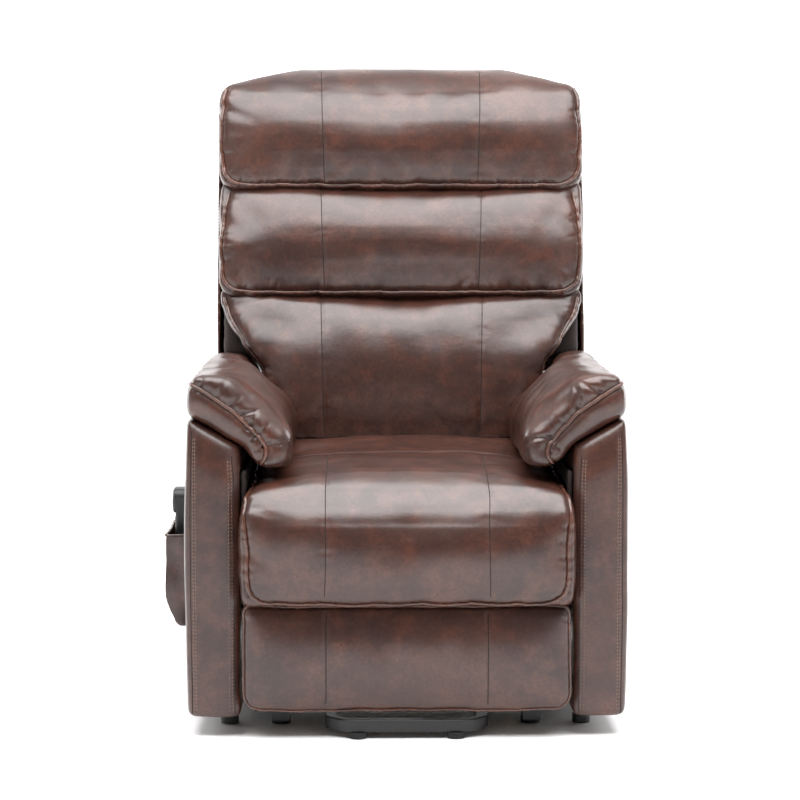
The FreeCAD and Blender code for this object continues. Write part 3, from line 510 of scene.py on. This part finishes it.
MATERIALS = {
    "leather": main_leather,
    # the same hide pulled tight over cord: paler, redder and a little glossier
    "piping": lambda: antiqued_leather("piping_leather", linear("#40281f"), linear("#5f3d31"),
                                       linear("#744a3b"), 0.04),
    # painted shadow, near black: the fold between two panels, where no light and no wax reach, and the dark sheets
    # behind the back cushions and beside the seat
    "seam": lambda: plain_finish("seam_shadow_leather", "#180e0c", "#24150f", 6, 0, 0.8, 0.9),
    # bonded polyester thread: brown, slightly shiny
    "thread": lambda: plain_finish("bonded_polyester_thread", "#6f574b", "#7e6558", 3, 0, 0.45, 0.6),
    # powder-coated mild steel: near black, low orange-peel sheen
    "steel_black": lambda: plain_finish("powder_coated_steel", "#121213", "#1d1d1f",
                                        3, 0, 0.38, 0.5, 0.2),
    # zinc-plated steel: pale grey with a bluish cast, brushed smooth by handling
    "zinc_steel": lambda: plain_finish("zinc_plated_steel", "#a9adb0", "#c6c9cc", 7, 1, 0.28, 0.42),
    # hard-chromed actuator rod: mirror bright
    "chrome_rod": lambda: plain_finish("hard_chromed_rod", "#c9ccd0", "#dadde0", 20, 1, 0.07, 0.12),
    # oil-tempered spring wire: dark grey, dull
    "spring_steel": lambda: plain_finish("oil_tempered_spring_wire", "#4a4a4c", "#636365",
                                         8, 1, 0.4, 0.55),
    "plywood": birch_plywood,
    # moulded ABS: black, spark-eroded texture with a dull sheen
    "plastic_black": lambda: plain_finish("moulded_abs", "#17181a", "#202124",
                                          1.6, 0, 0.42, 0.52, 0.25, 1.53),
    # silicone-coated keys: dark grey, soft matt
    "button_plastic": lambda: plain_finish("silicone_key", "#3a3b3f", "#46474b",
                                           4, 0, 0.55, 0.65, 0.1, 1.43),
    "webbing": woven_webbing,
    # moulded rubber: black, chalky matt
    "rubber": lambda: plain_finish("moulded_rubber", "#141414", "#1f1f1f", 5, 0, 0.75, 0.9, 0.3, 1.52),
}


@functools.cache
def material_of(slot):
    """The material of a slot, built the first time it is asked for."""
    return MATERIALS[slot]()


# ---- settings ------------

class RECLINER_PG_leather(bpy.types.PropertyGroup):
    deep: FloatVectorProperty(name="Deep", description="Near-black brown blotches",
                              default=linear("#321d18"), size=4, subtype="COLOR")
    body: FloatVectorProperty(name="Body", description="The hide's main brown",
                              default=linear("#4b2f26"), size=4, subtype="COLOR")
    worn: FloatVectorProperty(name="Worn", description="Red-brown where the wax is rubbed thin",
                              default=linear("#5e392d"), size=4, subtype="COLOR")


class RECLINER_PG_sewing(bpy.types.PropertyGroup):
    piping_radius: FloatProperty(name="Piping radius", description="Half the cord's thickness",
                                 default=3.4 * MM, unit="LENGTH")
    seam_radius: FloatProperty(name="Seam radius", description="Half the width of a seam's line",
                               default=0.8 * MM, unit="LENGTH")
    voxel: FloatProperty(name="Cushion mesh", description="Quad size of a cushion before it swells",
                         default=6 * MM, unit="LENGTH")


class RECLINER_PG_studio(bpy.types.PropertyGroup):
    lens: FloatProperty(name="Lens", description="Focal length on a 36 mm sensor", default=111.3)
    camera_place: FloatVectorProperty(name="Camera", description="Where the camera stands",
                                      default=(-0.077, -4.4, 0.898), subtype="TRANSLATION")
    floor_colour: FloatVectorProperty(name="Floor", description="Colour of the studio floor",
                                      default=(0.9, 0.9, 0.9), subtype="COLOR")


# ---- back ------------

# height up the back against half width: the lumbar cushion as packed, and as it is sewn, with wings
# that spread above the arm pads
LUMBAR_CAD = ((98, 240, 266, 290, 310, 324, 361), (255, 256, 266, 290, 312, 328, 331))
LUMBAR_WIDE = ((98, 215, 235, 250, 266, 290, 310, 324, 361),
               (255, 257, 265, 281, 295, 311, 321, 329, 333))
# its piping, as half width and height: down one side to the middle of the lower edge
LUMBAR_EDGE = ((333, 362), (331, 324), (321, 310), (311, 290), (295, 266), (281, 250), (264, 235),
               (256, 215), (254, 180), (252, 130), (240, 98), (215, 86), (0, 84))
# the end seam of an arm pad, from the outer top corner down to the inner tip and under it
PAD_SEAM = ((355, 580), (330, 569), (305, 551), (275, 532), (263, 517), (243, 497), (229, 482),
            (225, 468), (232, 452), (244, 444))


def u_path(half, low, high, radius, top_in=0.0, forward=-66 * MM):
    """A letter U in the back's frame: down one side, round two corners and up the other."""
    arc = [(half - radius + radius * math.cos(a), low + radius - radius * math.sin(a))
           for a in np.linspace(0, math.pi / 2, 12)]
    side = [(half - top_in * ramp(z, high - 60 * MM, high), z)
            for z in np.linspace(high, low + radius, 30)]
    right = side + arc[1:]
    line = right + [(x, low) for x in np.linspace(half - radius, -half + radius, 60)[1:-1]]
    line += [(-x, z) for x, z in reversed(right)]
    return np.array([(x, forward, z) for x, z in line])


class RECLINER_OT_back_cushions(bpy.types.Operator):
    """Head, middle and lumbar cushions, with piping down the sides and along the bottom"""
    bl_idname = "recliner.back_cushions"
    bl_label = "Back cushions"

    def execute(self, context):
        sewing = context.scene.recliner_sewing
        # node, low and high along the back, depth at bottom, middle and top, where the belly is, seed
        rows = (("head_cushion", 562, 796, 84, 98, 66, 0.45, 3),
                ("middle_cushion", 362, 561, 80, 97, 58, 0.42, 5),
                ("lumbar_cushion", 98, 361, 88, 96, 58, 0.5, 7))
        for node, low, high, at_low, at_belly, at_top, belly, seed in rows:
            low, high = low * MM, high * MM
            piece = merged_copy(node + "_leather", node)
            remesh(piece, sewing.voxel, 2)
            local = to_back(points_of(piece))
            x, y, z = local.T
            # the cushion's depth rises from each end to its belly
            v = np.clip((z - low) / (high - low), 0, 1)
            rise = np.where(v < belly, np.sin(np.minimum(v / belly, 1) * math.pi / 2) ** 0.8,
                            np.cos((v - belly) / (1 - belly) * math.pi / 2) ** 1.1)
            if node == "lumbar_cushion":
                x = x * np.interp(z / MM, *LUMBAR_WIDE) / np.interp(z / MM, *LUMBAR_CAD)
            at_end = np.where(v < belly, at_low, at_top)
            depth = (at_end + (at_belly - at_end) * rise) * MM
            side = np.abs(x) / CUSHION_HALF
            depth = depth * (1 - 0.16 * np.clip(side, 0, 1) ** 5) - 12 * MM
            if node == "head_cushion":
                crown = np.clip((z - 716 * MM) / (80 * MM), 0, 1)
                depth = depth - 52 * MM * (1 - np.sqrt(1 - np.minimum(crown, 0.999) ** 2))
            y = np.where(y < 0, y * depth / CUSHION_DEPTH, y)
            if node != "head_cushion":
                z = z + 16 * MM * ramp(v, 0.55, 1.0)
            z = z - (16 if node == "lumbar_cushion" else 6) * MM * (1 - ramp(v, 0.0, 0.35))
            put_points(piece, from_back(np.column_stack([x, y, z])))
            drop, top_in = (36, 0) if node == "head_cushion" else (4, 12)
            path = u_path(333 * MM, low - 4 * MM, high - drop * MM, 44 * MM, top_in * MM)
            if node == "lumbar_cushion":
                right = resample([(a * MM, -66 * MM, b * MM) for a, b in LUMBAR_EDGE])
                path = np.vstack([right, (right * (-1, 1, 1))[::-1][1:]])
            path = settle(from_back(path), piece)
            distance, _ = nearest(path, points_of(piece))
            local = to_back(points_of(piece))
            inflate(piece, (distance < 7 * MM) | (local[:, 1] > -8 * MM), 3.6, 17 * MM, 0.01)
            subdivide(piece)
            unevenness(piece, 1.1 * MM, 120 * MM, seed)
            path = settle(path, piece)
            groove(piece, path, 3.5 * MM, 8 * MM)
            gather(piece, path, 13 * MM, 2.4 * MM, 34 * MM, seed)
            gather(piece, path, 60 * MM, 3.6 * MM, 90 * MM, seed + 20, 1.2)
            cords = settle(path, piece, 1.2 * MM)
            tube(node + "_piping", cords, sewing.piping_radius, "piping", "back")
            shell = BVHTree.FromObject(piece, context.evaluated_depsgraph_get())
            ahead = from_back([(0, 1, 0)])[0] - from_back([(0, 0, 0)])[0]
            for number, sign in enumerate((-1, 1)):
                line = []
                for t in np.linspace(0, 1, 90):
                    height = low + (high - low) * t + 3 * MM * (1 - t)
                    spot = from_back([(sign * (141 + 7 * t) * MM, -0.3, height)])[0]
                    hit = shell.ray_cast(spot, ahead)
                    if hit[0] is not None and to_back([hit[0]])[0][1] < -25 * MM:
                        line.append(hit[0])
                line = soften(resample(line), 5)
                panel_seam(f"{node}_seam_{number + 1}", piece, line, 1.5 * MM, "back",
                           (22 * MM, 0.7 * MM, 22 * MM, seed + number, 0.4))
            dress(piece, "leather", "back", node, fill=0.75)
        return {"FINISHED"}


class RECLINER_OT_back_shell(bpy.types.Operator):
    """Outside of the back: rear panel, borders and the gathered gusset behind the cushions, near black as painted
    shade
    """
    bl_idname = "recliner.back_shell"
    bl_label = "Back shell"

    def execute(self, context):
        piece = merged_copy("back_shell_leather", "back_cover", "back_border")
        remesh(piece, 4 * MM, 3)
        x, y, z = to_back(points_of(piece)).T
        # a domed rear panel, and side borders whose lower ends reach 40 mm further down
        across = np.clip(1 - (x / (330 * MM)) ** 2, 0, 1)
        along = np.clip(1 - ((z - 440 * MM) / (340 * MM)) ** 2, 0, 1)
        y = y + np.where(y > 80 * MM, 6 * MM * np.sqrt(across * along), 0)
        z = z - 40 * MM * ramp(-z, -0.31, -0.28) * ramp(np.abs(x), 0.256, 0.264)
        put_points(piece, from_back(np.column_stack([x, y, z])))
        unevenness(piece, 0.8 * MM, 150 * MM, 11)
        right = [(262, 88), (262, 218), (274, 230), (322, 232), (338, 252), (338, 715), (328, 738),
                 (250, 765), (185, 778), (0, 779)]
        rim = resample([(a * MM, 104 * MM, b * MM) for a, b in right])
        rim = settle(from_back(np.vstack([rim, (rim * (-1, 1, 1))[::-1][1:]])), piece)
        groove(piece, rim, 1.6 * MM, 6 * MM)
        gather(piece, rim, 30 * MM, 1.0 * MM, 40 * MM, 12)
        tube("back_shell_piping", settle(rim, piece, 0.8 * MM), 2.8 * MM, "piping", "back")
        rows = []
        for sign in (-1, 1):
            for forward in (20, 26):
                line = from_back([(sign * 342 * MM, forward * MM, z * MM) for z in range(262, 716, 4)])
                rows.append(settle(line, piece))
        stitches("back_shell_stitches", rows, piece, "back")
        dress(piece, "leather", "back", "back_cover", "back_border", fill=0.9)
        # a gathered sheet behind the cushions, dressed near black: painted shade where no light reaches between
        # them and the shell
        gusset_in_shade = box("back_gusset_in_shade", (-329, -22, 246), (329, 11, 744))
        use_modifier(gusset_in_shade, "BEVEL", width=16 * MM, segments=3)
        remesh(gusset_in_shade, 7 * MM, 2)
        put_points(gusset_in_shade, from_back(points_of(gusset_in_shade)))
        for sign in (-1, 1):
            line = from_back([(sign * 328 * MM, -14 * MM, z * MM) for z in range(270, 735, 4)])
            gather(gusset_in_shade, line, 16 * MM, 4 * MM, 30 * MM, 15 + sign)
        dress(gusset_in_shade, "seam", "back", fill=0.5)
        return {"FINISHED"}


# ---- seat and footrest ------------

class RECLINER_OT_seat(bpy.types.Operator):
    """Seat cushion with a full front roll, side piping, two long seams and a cross seam"""
    bl_idname = "recliner.seat"
    bl_label = "Seat cushion"

    def execute(self, context):
        sewing = context.scene.recliner_sewing
        piece = merged_copy("seat_leather", "seat_cushion")
        remesh(piece, sewing.voxel, 2)
        # room for the front and top to swell, rolled sides, a raised rear and a dropped front edge
        x, y, z = points_of(piece).T
        y = y + 9 * MM * ramp(-y, 0.3, 0.46)
        z = z - 6 * MM * ramp(z, 0.3, 0.43)
        edge = np.clip(np.abs(x) / (268 * MM), 0, 1) ** 6
        z = z - 12 * MM * edge * ramp(z, 0.33, 0.43) * ramp(-y, -0.05, 0.1)
        z = z + 17 * MM * ramp(y, -0.13, 0.02) * ramp(z, 0.33, 0.42)
        z = z - 9 * MM * ramp(-z, -0.3, -0.235) * ramp(-y, 0.38, 0.43)
        put_points(piece, np.column_stack([x * 0.985, y, z]))
        right = [(262, -60, 425), (262, -200, 428), (262, -330, 428), (263, -400, 415), (264, -440, 380),
                 (265, -452, 330), (265, -452, 280), (262, -450, 252), (250, -446, 232), (230, -442, 222),
                 (200, -441, 220), (132, -441, 223), (0, -441, 221)]
        line = resample(np.array(right) * MM)
        path = settle(np.vstack([line, (line * (-1, 1, 1))[::-1][1:]]), piece, smooth=12)
        distance, _ = nearest(path, points_of(piece))
        points = points_of(piece)
        low = (points[:, 2] < 232 * MM) & (points[:, 1] > -400 * MM)
        inflate(piece, (distance < 7 * MM) | low | (points[:, 1] > 55 * MM), 4.0, 19 * MM, 0.01)
        subdivide(piece)
        points = points_of(piece)
        limit = np.where(points[:, 1] > -402 * MM, 270.5 * MM, 280 * MM)
        wide = 1 + 0.025 * ramp(-points[:, 1], 0.402, 0.425)
        points[:, 0] = np.clip(points[:, 0] * wide, -limit, limit)
        put_points(piece, points)
        unevenness(piece, 1.3 * MM, 130 * MM, 21)
        path = settle(path, piece, smooth=12)
        groove(piece, path, 3.5 * MM, 8 * MM)
        gather(piece, path, 17 * MM, 2.0 * MM, 34 * MM, 22)
        gather(piece, path, 70 * MM, 3.0 * MM, 90 * MM, 23, 1.2)
        for number, sign in enumerate((-1, 1)):
            line = np.array([(132, -160, 440), (132, -300, 446), (132, -400, 446), (132, -450, 420),
                             (132, -470, 360), (133, -475, 300), (134, -460, 236)], float) * MM
            line = settle(line * (sign, 1, 1), piece, smooth=10)
            panel_seam(f"seat_seam_{number + 1}", piece, line, 1.6 * MM, "chair",
                       (24 * MM, 0.8 * MM, 24 * MM, 24 + number, 0.4))
        cross = settle(np.array([(-255, -160, 440), (0, -156, 445), (255, -160, 440)]) * MM, piece)
        panel_seam("seat_cross_seam", piece, cross, 2.6 * MM, "chair",
                   (26 * MM, 1.2 * MM, 30 * MM, 27), 6 * MM)
        tube("seat_piping", settle(path, piece, 1.2 * MM, smooth=10), sewing.piping_radius,
             "piping", "chair")
        dress(piece, "leather", "chair", "seat_cushion", fill=0.85)
        return {"FINISHED"}


class RECLINER_OT_footrest(bpy.types.Operator):
    """Footrest pad with piping all round and two seams"""
    bl_idname = "recliner.footrest"
    bl_label = "Footrest pad"

    def execute(self, context):
        piece = merged_copy("footrest_leather", "footrest_pad")
        remesh(piece, 5 * MM, 1)
        points = points_of(piece)
        points[:, 1] += np.where(points[:, 1] < -400 * MM, 7 * MM, 0)
        put_points(piece, points)
        half, low, high, radius = 269 * MM, 46 * MM, 219 * MM, 32 * MM
        arc = [(half - radius + radius * math.cos(a), low + radius - radius * math.sin(a))
               for a in np.linspace(0, math.pi / 2, 10)]
        right = [(0, high), (half - 8 * MM, high), (half, high - 8 * MM)] + arc + [(0, low)]
        line = resample([(a, -412 * MM, b) for a, b in right])
        path = settle(np.vstack([line, (line * (-1, 1, 1))[::-1][1:-1]]), piece)
        distance, _ = nearest(path, points_of(piece))
        inflate(piece, (distance < 6 * MM) | (points_of(piece)[:, 1] > -396 * MM), 4.0, 14 * MM, 0.01)
        subdivide(piece)
        unevenness(piece, 0.9 * MM, 110 * MM, 31)
        path = settle(path, piece)
        groove(piece, path, 2.6 * MM, 7 * MM)
        gather(piece, path, 18 * MM, 1.6 * MM, 26 * MM, 32)
        for number, sign in enumerate((-1, 1)):
            line = settle([(sign * 132 * MM, -445 * MM, z * MM) for z in range(50, 216, 5)], piece)
            panel_seam(f"footrest_seam_{number + 1}", piece, line, 1.5 * MM, "footrest")
        tube("footrest_piping", settle(path, piece, 1.0 * MM), 2.8 * MM, "piping", "footrest")
        dress(piece, "leather", "footrest", "footrest_pad", fill=0.7)
        return {"FINISHED"}


# ---- arms ------------

# millimetres across to an arm's inner face, and how steeply its top rises outwards from there
ARM_INNER, ARM_RISE = 272, 48 / 88


class RECLINER_OT_arms(bpy.types.Operator):
    """Arm panels: a front panel with two rows of top-stitching down each edge"""
    bl_idname = "recliner.arms"
    bl_label = "Arm panels"

    def execute(self, context):
        for side, sign in SIDES.items():
            piece = box(f"arm_panel_{side}", (272.3, -400, 31.3), (359.5, 254.5, 500))
            points = points_of(piece)
            top, outside = points[:, 2] > 400 * MM, points[:, 0] > 300 * MM
            points[top & outside, 2], points[top & ~outside, 2] = 525.5 * MM, 477.5 * MM
            put_points(piece, points * (sign, 1, 1))
            face_out(piece)
            use_modifier(piece, "BEVEL", width=11 * MM, segments=4)
            remesh(piece, 6 * MM, 2)
            x, y, z = points_of(piece).T
            # outer side bowed out, front a little full, and its top leaned back under the arm pad
            tall = np.clip(1 - ((z - 270 * MM) / (240 * MM)) ** 2, 0, 1)
            outer = ramp(x * sign, 0.33, 0.36)
            x = x + sign * outer * 4.5 * MM * tall
            belly = ramp(-y, 0.37, 0.4)
            wide = np.clip(1 - ((x * sign - 316 * MM) / (44 * MM)) ** 2, 0, 1)
            crest = 478 * MM + (x * sign - ARM_INNER * MM) * ARM_RISE
            fall = np.clip(1 - (crest - z) / (75 * MM), 0, 1)
            y = y - 6 * MM * belly * wide + 15 * MM * ramp(-y, 0.33, 0.4) * fall ** 1.8
            put_points(piece, np.column_stack([x, y, z]))
            unevenness(piece, 0.7 * MM, 140 * MM, 40 + sign)

            def upright(across, front, low, high, sign=sign, piece=piece):
                """A line up the arm's front, as far as its sloping top."""
                top = high + (across - ARM_INNER) * ARM_RISE
                path = [(sign * across * MM, front * MM, z * MM) for z in np.arange(low, top, 6)]
                return settle(path, piece)
            rows = [upright(across, -410, 38, 460) for across in (283, 289, 346, 352)]
            lines = [upright(across, -406, 34, 464) for across in (279, 356)]
            for number, line in enumerate(lines):
                panel_seam(f"arm_seam_{side}_{number + 1}", piece, line, 1.8 * MM, "chair")
            stitches(f"arm_stitches_{side}", rows, piece, "chair")
            dress(piece, "leather", "chair", f"arm_cover_{side}", fill=0.95)
        return {"FINISHED"}


class RECLINER_OT_arm_pads(bpy.types.Operator):
    """Arm pads: a gathered top that rolls over the front down to a piped end panel"""
    bl_idname = "recliner.arm_pads"
    bl_label = "Arm pads"

    def execute(self, context):
        sewing = context.scene.recliner_sewing
        for side, sign in SIDES.items():
            piece = merged_copy(f"arm_pad_leather_{side}", f"arm_pad_{side}")
            remesh(piece, 7 * MM, 2)
            x, y, z = points_of(piece).T
            x = x * sign
            line = resample([(a * MM, 0, b * MM) for a, b in PAD_SEAM], 4 * MM)
            spots = np.column_stack([x, np.zeros(len(x)), z])
            tree = KDTree(len(line))
            for index, point in enumerate(line):
                tree.insert(point, index)
            tree.balance()
            aim = line[np.array([tree.find(spot)[1] for spot in spots])]
            # the last 54 mm are drawn towards the end seam, into a rounded nose
            t = np.clip((-y - 350 * MM) / (54 * MM), 0, 1)
            pull = 0.5 * (1 - np.sqrt(1 - np.minimum(t, 0.9995) ** 2.2))
            low = ramp(z, 0.5, 0.46)
            x, z = x + (aim[:, 0] - x) * pull, z + (aim[:, 2] - z) * pull * (1 - 0.4 * low)
            y = y + 6 * MM * ramp(-y, 0.37, 0.405)
            z = z + 9 * MM * ramp(z, 0.54, 0.58)
            put_points(piece, np.column_stack([x * sign, y, z]))
            remesh(piece, sewing.voxel, 2)
            ends = BVHTree.FromObject(piece, context.evaluated_depsgraph_get())
            front = []
            for a, b in resample([(a * MM, 0, b * MM) for a, b in PAD_SEAM], 3 * MM)[:, (0, 2)]:
                hit = ends.ray_cast((a * sign, -1, b), (0, 1, 0))
                if hit[0] is not None:
                    front.append(hit[0])
            front = soften(resample(front), 8)
            outer = [(sign * 357 * MM, y * MM, 580 * MM) for y in range(-385, 155, 10)]
            outer = settle(outer, piece)
            points = points_of(piece)
            gap = np.minimum(nearest(front, points)[0], nearest(outer, points)[0])
            rest = (points[:, 2] < 448 * MM) | (points[:, 1] > 150 * MM)
            rest |= (points[:, 0] * sign > 275 * MM) & (points[:, 2] < 530 * MM)
            inflate(piece, (gap < 6 * MM) | rest, 3.6, 15 * MM, 0.015)
            subdivide(piece)
            unevenness(piece, 1.6 * MM, 70 * MM, 50 + sign)
            front = settle(front, piece)
            outer = settle(outer, piece)
            groove(piece, front, 4.5 * MM, 8 * MM)
            groove(piece, outer, 2.5 * MM, 6 * MM)
            places, heights = np.array(sorted(PAD_SEAM)).T * MM

            def above(points, sign=sign, places=places, heights=heights):
                edge = np.interp(points[:, 0] * sign, places, heights)
                return 0.15 + 0.85 * ramp(points[:, 2], edge - 2 * MM, edge + 8 * MM)
            gather(piece, front, 24 * MM, 7.0 * MM, 62 * MM, 52 + sign, 0.5, above, 0.6)
            gather(piece, front, 11 * MM, 2.4 * MM, 30 * MM, 54 + sign, 0.4, above, 0.7)
            gather(piece, outer, 26 * MM, 2.0 * MM, 34 * MM, 56 + sign)
            tube(f"arm_pad_end_piping_{side}", settle(front, piece, 1.2 * MM), 3.2 * MM,
                 "piping", "chair")
            tube(f"arm_pad_side_piping_{side}", settle(outer, piece, 1.0 * MM), 3.0 * MM,
                 "piping", "chair")
            dress(piece, "leather", "chair", f"arm_pad_{side}", fill=0.7)
        return {"FINISHED"}


class RECLINER_OT_gap_shadow_sheets(bpy.types.Operator):
    """Dark, softly wavy sheets that close the gap between the seat and each arm: painted shade"""
    bl_idname = "recliner.side_linings"
    bl_label = "Gap shadow sheets"

    def execute(self, context):
        for side, sign in SIDES.items():
            parts = []
            for low, high in (((263, -386, 240), (271.6, 74, 436)), ((263, 30, 300), (271.6, 116, 520))):
                part = box("gap_shadow_part", low, high)
                put_points(part, points_of(part) * (sign, 1, 1))
                parts.append(part)
            activate(*parts)
            bpy.ops.object.join()
            piece = context.view_layer.objects.active
            piece.name = f"gap_shadow_sheet_{side}"
            face_out(piece)
            remesh(piece, 4 * MM, 3)
            unevenness(piece, 0.5 * MM, 60 * MM, 45 + sign)
            # near black all over: painted shade where the gap beside the seat lies in shadow
            dress(piece, "seam", "chair", fill=0.3)
        return {"FINISHED"}


class RECLINER_OT_pocket(bpy.types.Operator):
    """Soft pouch on the outside of the right arm, with a gathered hem"""
    bl_idname = "recliner.pocket"
    bl_label = "Side pocket"

    def execute(self, context):
        piece = merged_copy("side_pocket_leather", "side_pocket")
        remesh(piece, 2.5 * MM, 4)
        x, y, z = points_of(piece).T
        # mouth and bottom lifted, and a fuller belly
        z = z + 13 * MM * ramp(z, 0.22, 0.3) + 12 * MM * ramp(-z, -0.2, -0.155)
        out = ramp(-x, 0.362, 0.385) * np.clip(1 - ((y + 190 * MM) / (100 * MM)) ** 2, 0, 1)
        belly = np.clip(1 - ((z - 0.245) / 0.08) ** 2, 0, 1)
        x = x - out * (3 * MM * belly) + (1 - np.clip(belly + 0.5, 0, 1)) * out * 6 * MM
        put_points(piece, np.column_stack([x, y, z]))
        hem = settle([(-403 * MM, y * MM, 317 * MM) for y in range(-280, -96, 4)], piece)
        gather(piece, hem, 16 * MM, 3.2 * MM, 90 * MM, 61, 0.25)
        unevenness(piece, 0.8 * MM, 45 * MM, 62)
        tube("side_pocket_hem", settle(hem, piece, 0.6 * MM), 2.4 * MM, "piping", "chair")
        dress(piece, "leather", "chair", "side_pocket", fill=0.2)
        return {"FINISHED"}


# ---- finishes and studio ------------

class RECLINER_OT_finishes(bpy.types.Operator):
    """Gives every CAD part that shows the finish that its slot in the record names"""
    bl_idname = "recliner.finishes"
    bl_label = "Hardware finishes"

    def execute(self, context):
        for row in frame["record"]["subparts"]:
            node = frame["nodes"][row["node"]]
            material = material_of(row["material_slot"])
            for place in node.material_slots:
                place.material = material
        return {"FINISHED"}


class RECLINER_OT_studio(bpy.types.Operator):
    """White floor and backdrop, soft overhead and side light, and the camera"""
    bl_idname = "recliner.studio"
    bl_label = "Studio"

    def execute(self, context):
        studio = context.scene.recliner_studio
        scene = context.scene
        floor_paint, tree, shader, place = new_material("matt_white_floor_with_painted_glow")
        drift = add_node(tree, "TexNoise", {"Vector": place, "Scale": per_size(900), "Detail": 2,
                                            "Roughness": 0.5}).outputs["Fac"]
        tree.links.new(blend_colours(tree, drift, 0.2, 0.8, (*studio.floor_colour, 1),
                                     (0.93, 0.93, 0.93, 1)), shader.inputs["Base Color"])
        shader.inputs["Roughness"].default_value = 0.9
        shader.inputs["Emission Color"].default_value = (1, 1, 1, 1)
        # the floor glows more the further it lies from the chair: painted light that keeps the open floor white
        # while the shade near the chair stays dark
        away = add_node(tree, "VectorMath", {"Vector": place}, operation="LENGTH").outputs["Value"]
        glow = add_node(tree, "MapRange", {"Value": away, "From Min": 0.5, "From Max": 2.2, "To Min": 0.0,
                                           "To Max": 0.45}).outputs[0]
        tree.links.new(glow, shader.inputs["Emission Strength"])
        wall_paint, tree, shader, place = new_material("lit_white_backdrop")
        drift = add_node(tree, "TexNoise", {"Vector": place, "Scale": per_size(2000), "Detail": 1,
                                            "Roughness": 0.5}).outputs["Fac"]
        tree.links.new(blend_colours(tree, drift, 0.2, 0.8, (0.9, 0.9, 0.9, 1),
                                     (0.92, 0.92, 0.92, 1)), shader.inputs["Base Color"])
        shader.inputs["Emission Color"].default_value = (1, 1, 1, 1)
        shader.inputs["Emission Strength"].default_value = 1.05
        for name, size, where, turn, paint in (
                ("studio_floor", 30, (0, 0, -0.0005), (0, 0, 0), floor_paint),
                ("studio_backdrop", 14, (0, 7, 6.8), (math.pi / 2, 0, 0), wall_paint)):
            activate()
            bpy.ops.mesh.primitive_plane_add(size=size, location=where, rotation=turn)
            plane = context.object
            plane.name = name
            plane.data.materials.append(paint)
        for name, where, aim, size, power in (
                ("overhead_softbox", (0.0, -1.0, 3.2), (0, -0.1, 0.5), (4.0, 2.6), 260),
                ("left_fill", (2.7, -3.2, 1.7), (0, 0, 0.6), (1.6, 2.2), 9),
                ("right_fill", (-2.7, -3.2, 1.7), (0, 0, 0.6), (1.6, 2.2), 9),
                ("left_rim", (2.6, 1.6, 1.2), (0, 0, 0.5), (0.8, 2.2), 40),
                ("right_rim", (-2.6, 1.6, 1.2), (0, 0, 0.5), (0.8, 2.2), 40)):
            light = bpy.data.lights.new(name, "AREA")
            light.shape, light.size, light.size_y, light.energy = "RECTANGLE", *size, power
            lamp = bpy.data.objects.new(name, light)
            lamp.location = where
            way = np.array(aim) - np.array(where)
            lamp.rotation_euler = (math.acos(-way[2] / np.linalg.norm(way)), 0,
                                   math.atan2(-way[0], way[1]))
            scene.collection.objects.link(lamp)
        world = bpy.data.worlds.new("studio_air")
        scene.world = world
        world.use_nodes = True
        air = world.node_tree
        way = add_node(air, "SeparateXYZ", {"Vector": add_node(air, "TexCoord").outputs["Generated"]})
        shade = add_node(air, "MapRange", {"Value": way.outputs["Y"], "From Min": -0.6, "From Max": -0.15,
                                           "To Min": 0.12, "To Max": 0.8}).outputs[0]
        air.links.new(shade, air.nodes["Background"].inputs["Color"])
        camera = bpy.data.objects.new("studio_camera", bpy.data.cameras.new("studio_camera"))
        camera.data.lens = studio.lens
        camera.location = studio.camera_place
        camera.rotation_euler = (math.radians(85.09), 0, math.radians(-0.94))
        scene.collection.objects.link(camera)
        scene.camera = camera
        scene.view_settings.view_transform = "Standard"
        return {"FINISHED"}


class RECLINER_PT_panel(bpy.types.Panel):
    """Lists the steps in the 3D view's sidebar"""
    bl_label = "Lift recliner"
    bl_idname = "RECLINER_PT_panel"
    bl_space_type = "VIEW_3D"
    bl_region_type = "UI"
    bl_category = "Recliner"

    def draw(self, context):
        for step in STEPS:
            self.layout.operator(step.bl_idname)


STEPS = (RECLINER_OT_studio, RECLINER_OT_finishes, RECLINER_OT_back_cushions, RECLINER_OT_back_shell,
         RECLINER_OT_seat, RECLINER_OT_footrest, RECLINER_OT_arms, RECLINER_OT_arm_pads,
         RECLINER_OT_gap_shadow_sheets, RECLINER_OT_pocket)
CLASSES = (RECLINER_PG_leather, RECLINER_PG_sewing, RECLINER_PG_studio, *STEPS, RECLINER_PT_panel)


def register():
    for one in CLASSES:
        bpy.utils.register_class(one)
    bpy.types.Scene.recliner_leather = PointerProperty(type=RECLINER_PG_leather)
    bpy.types.Scene.recliner_sewing = PointerProperty(type=RECLINER_PG_sewing)
    bpy.types.Scene.recliner_studio = PointerProperty(type=RECLINER_PG_studio)


def unregister():
    del bpy.types.Scene.recliner_leather, bpy.types.Scene.recliner_sewing, bpy.types.Scene.recliner_studio
    for one in reversed(CLASSES):
        bpy.utils.unregister_class(one)


def main():
    register()
    for step in STEPS:
        group, name = step.bl_idname.split(".")
        getattr(getattr(bpy.ops, group), name)()


if __name__ == "__main__":
    main()
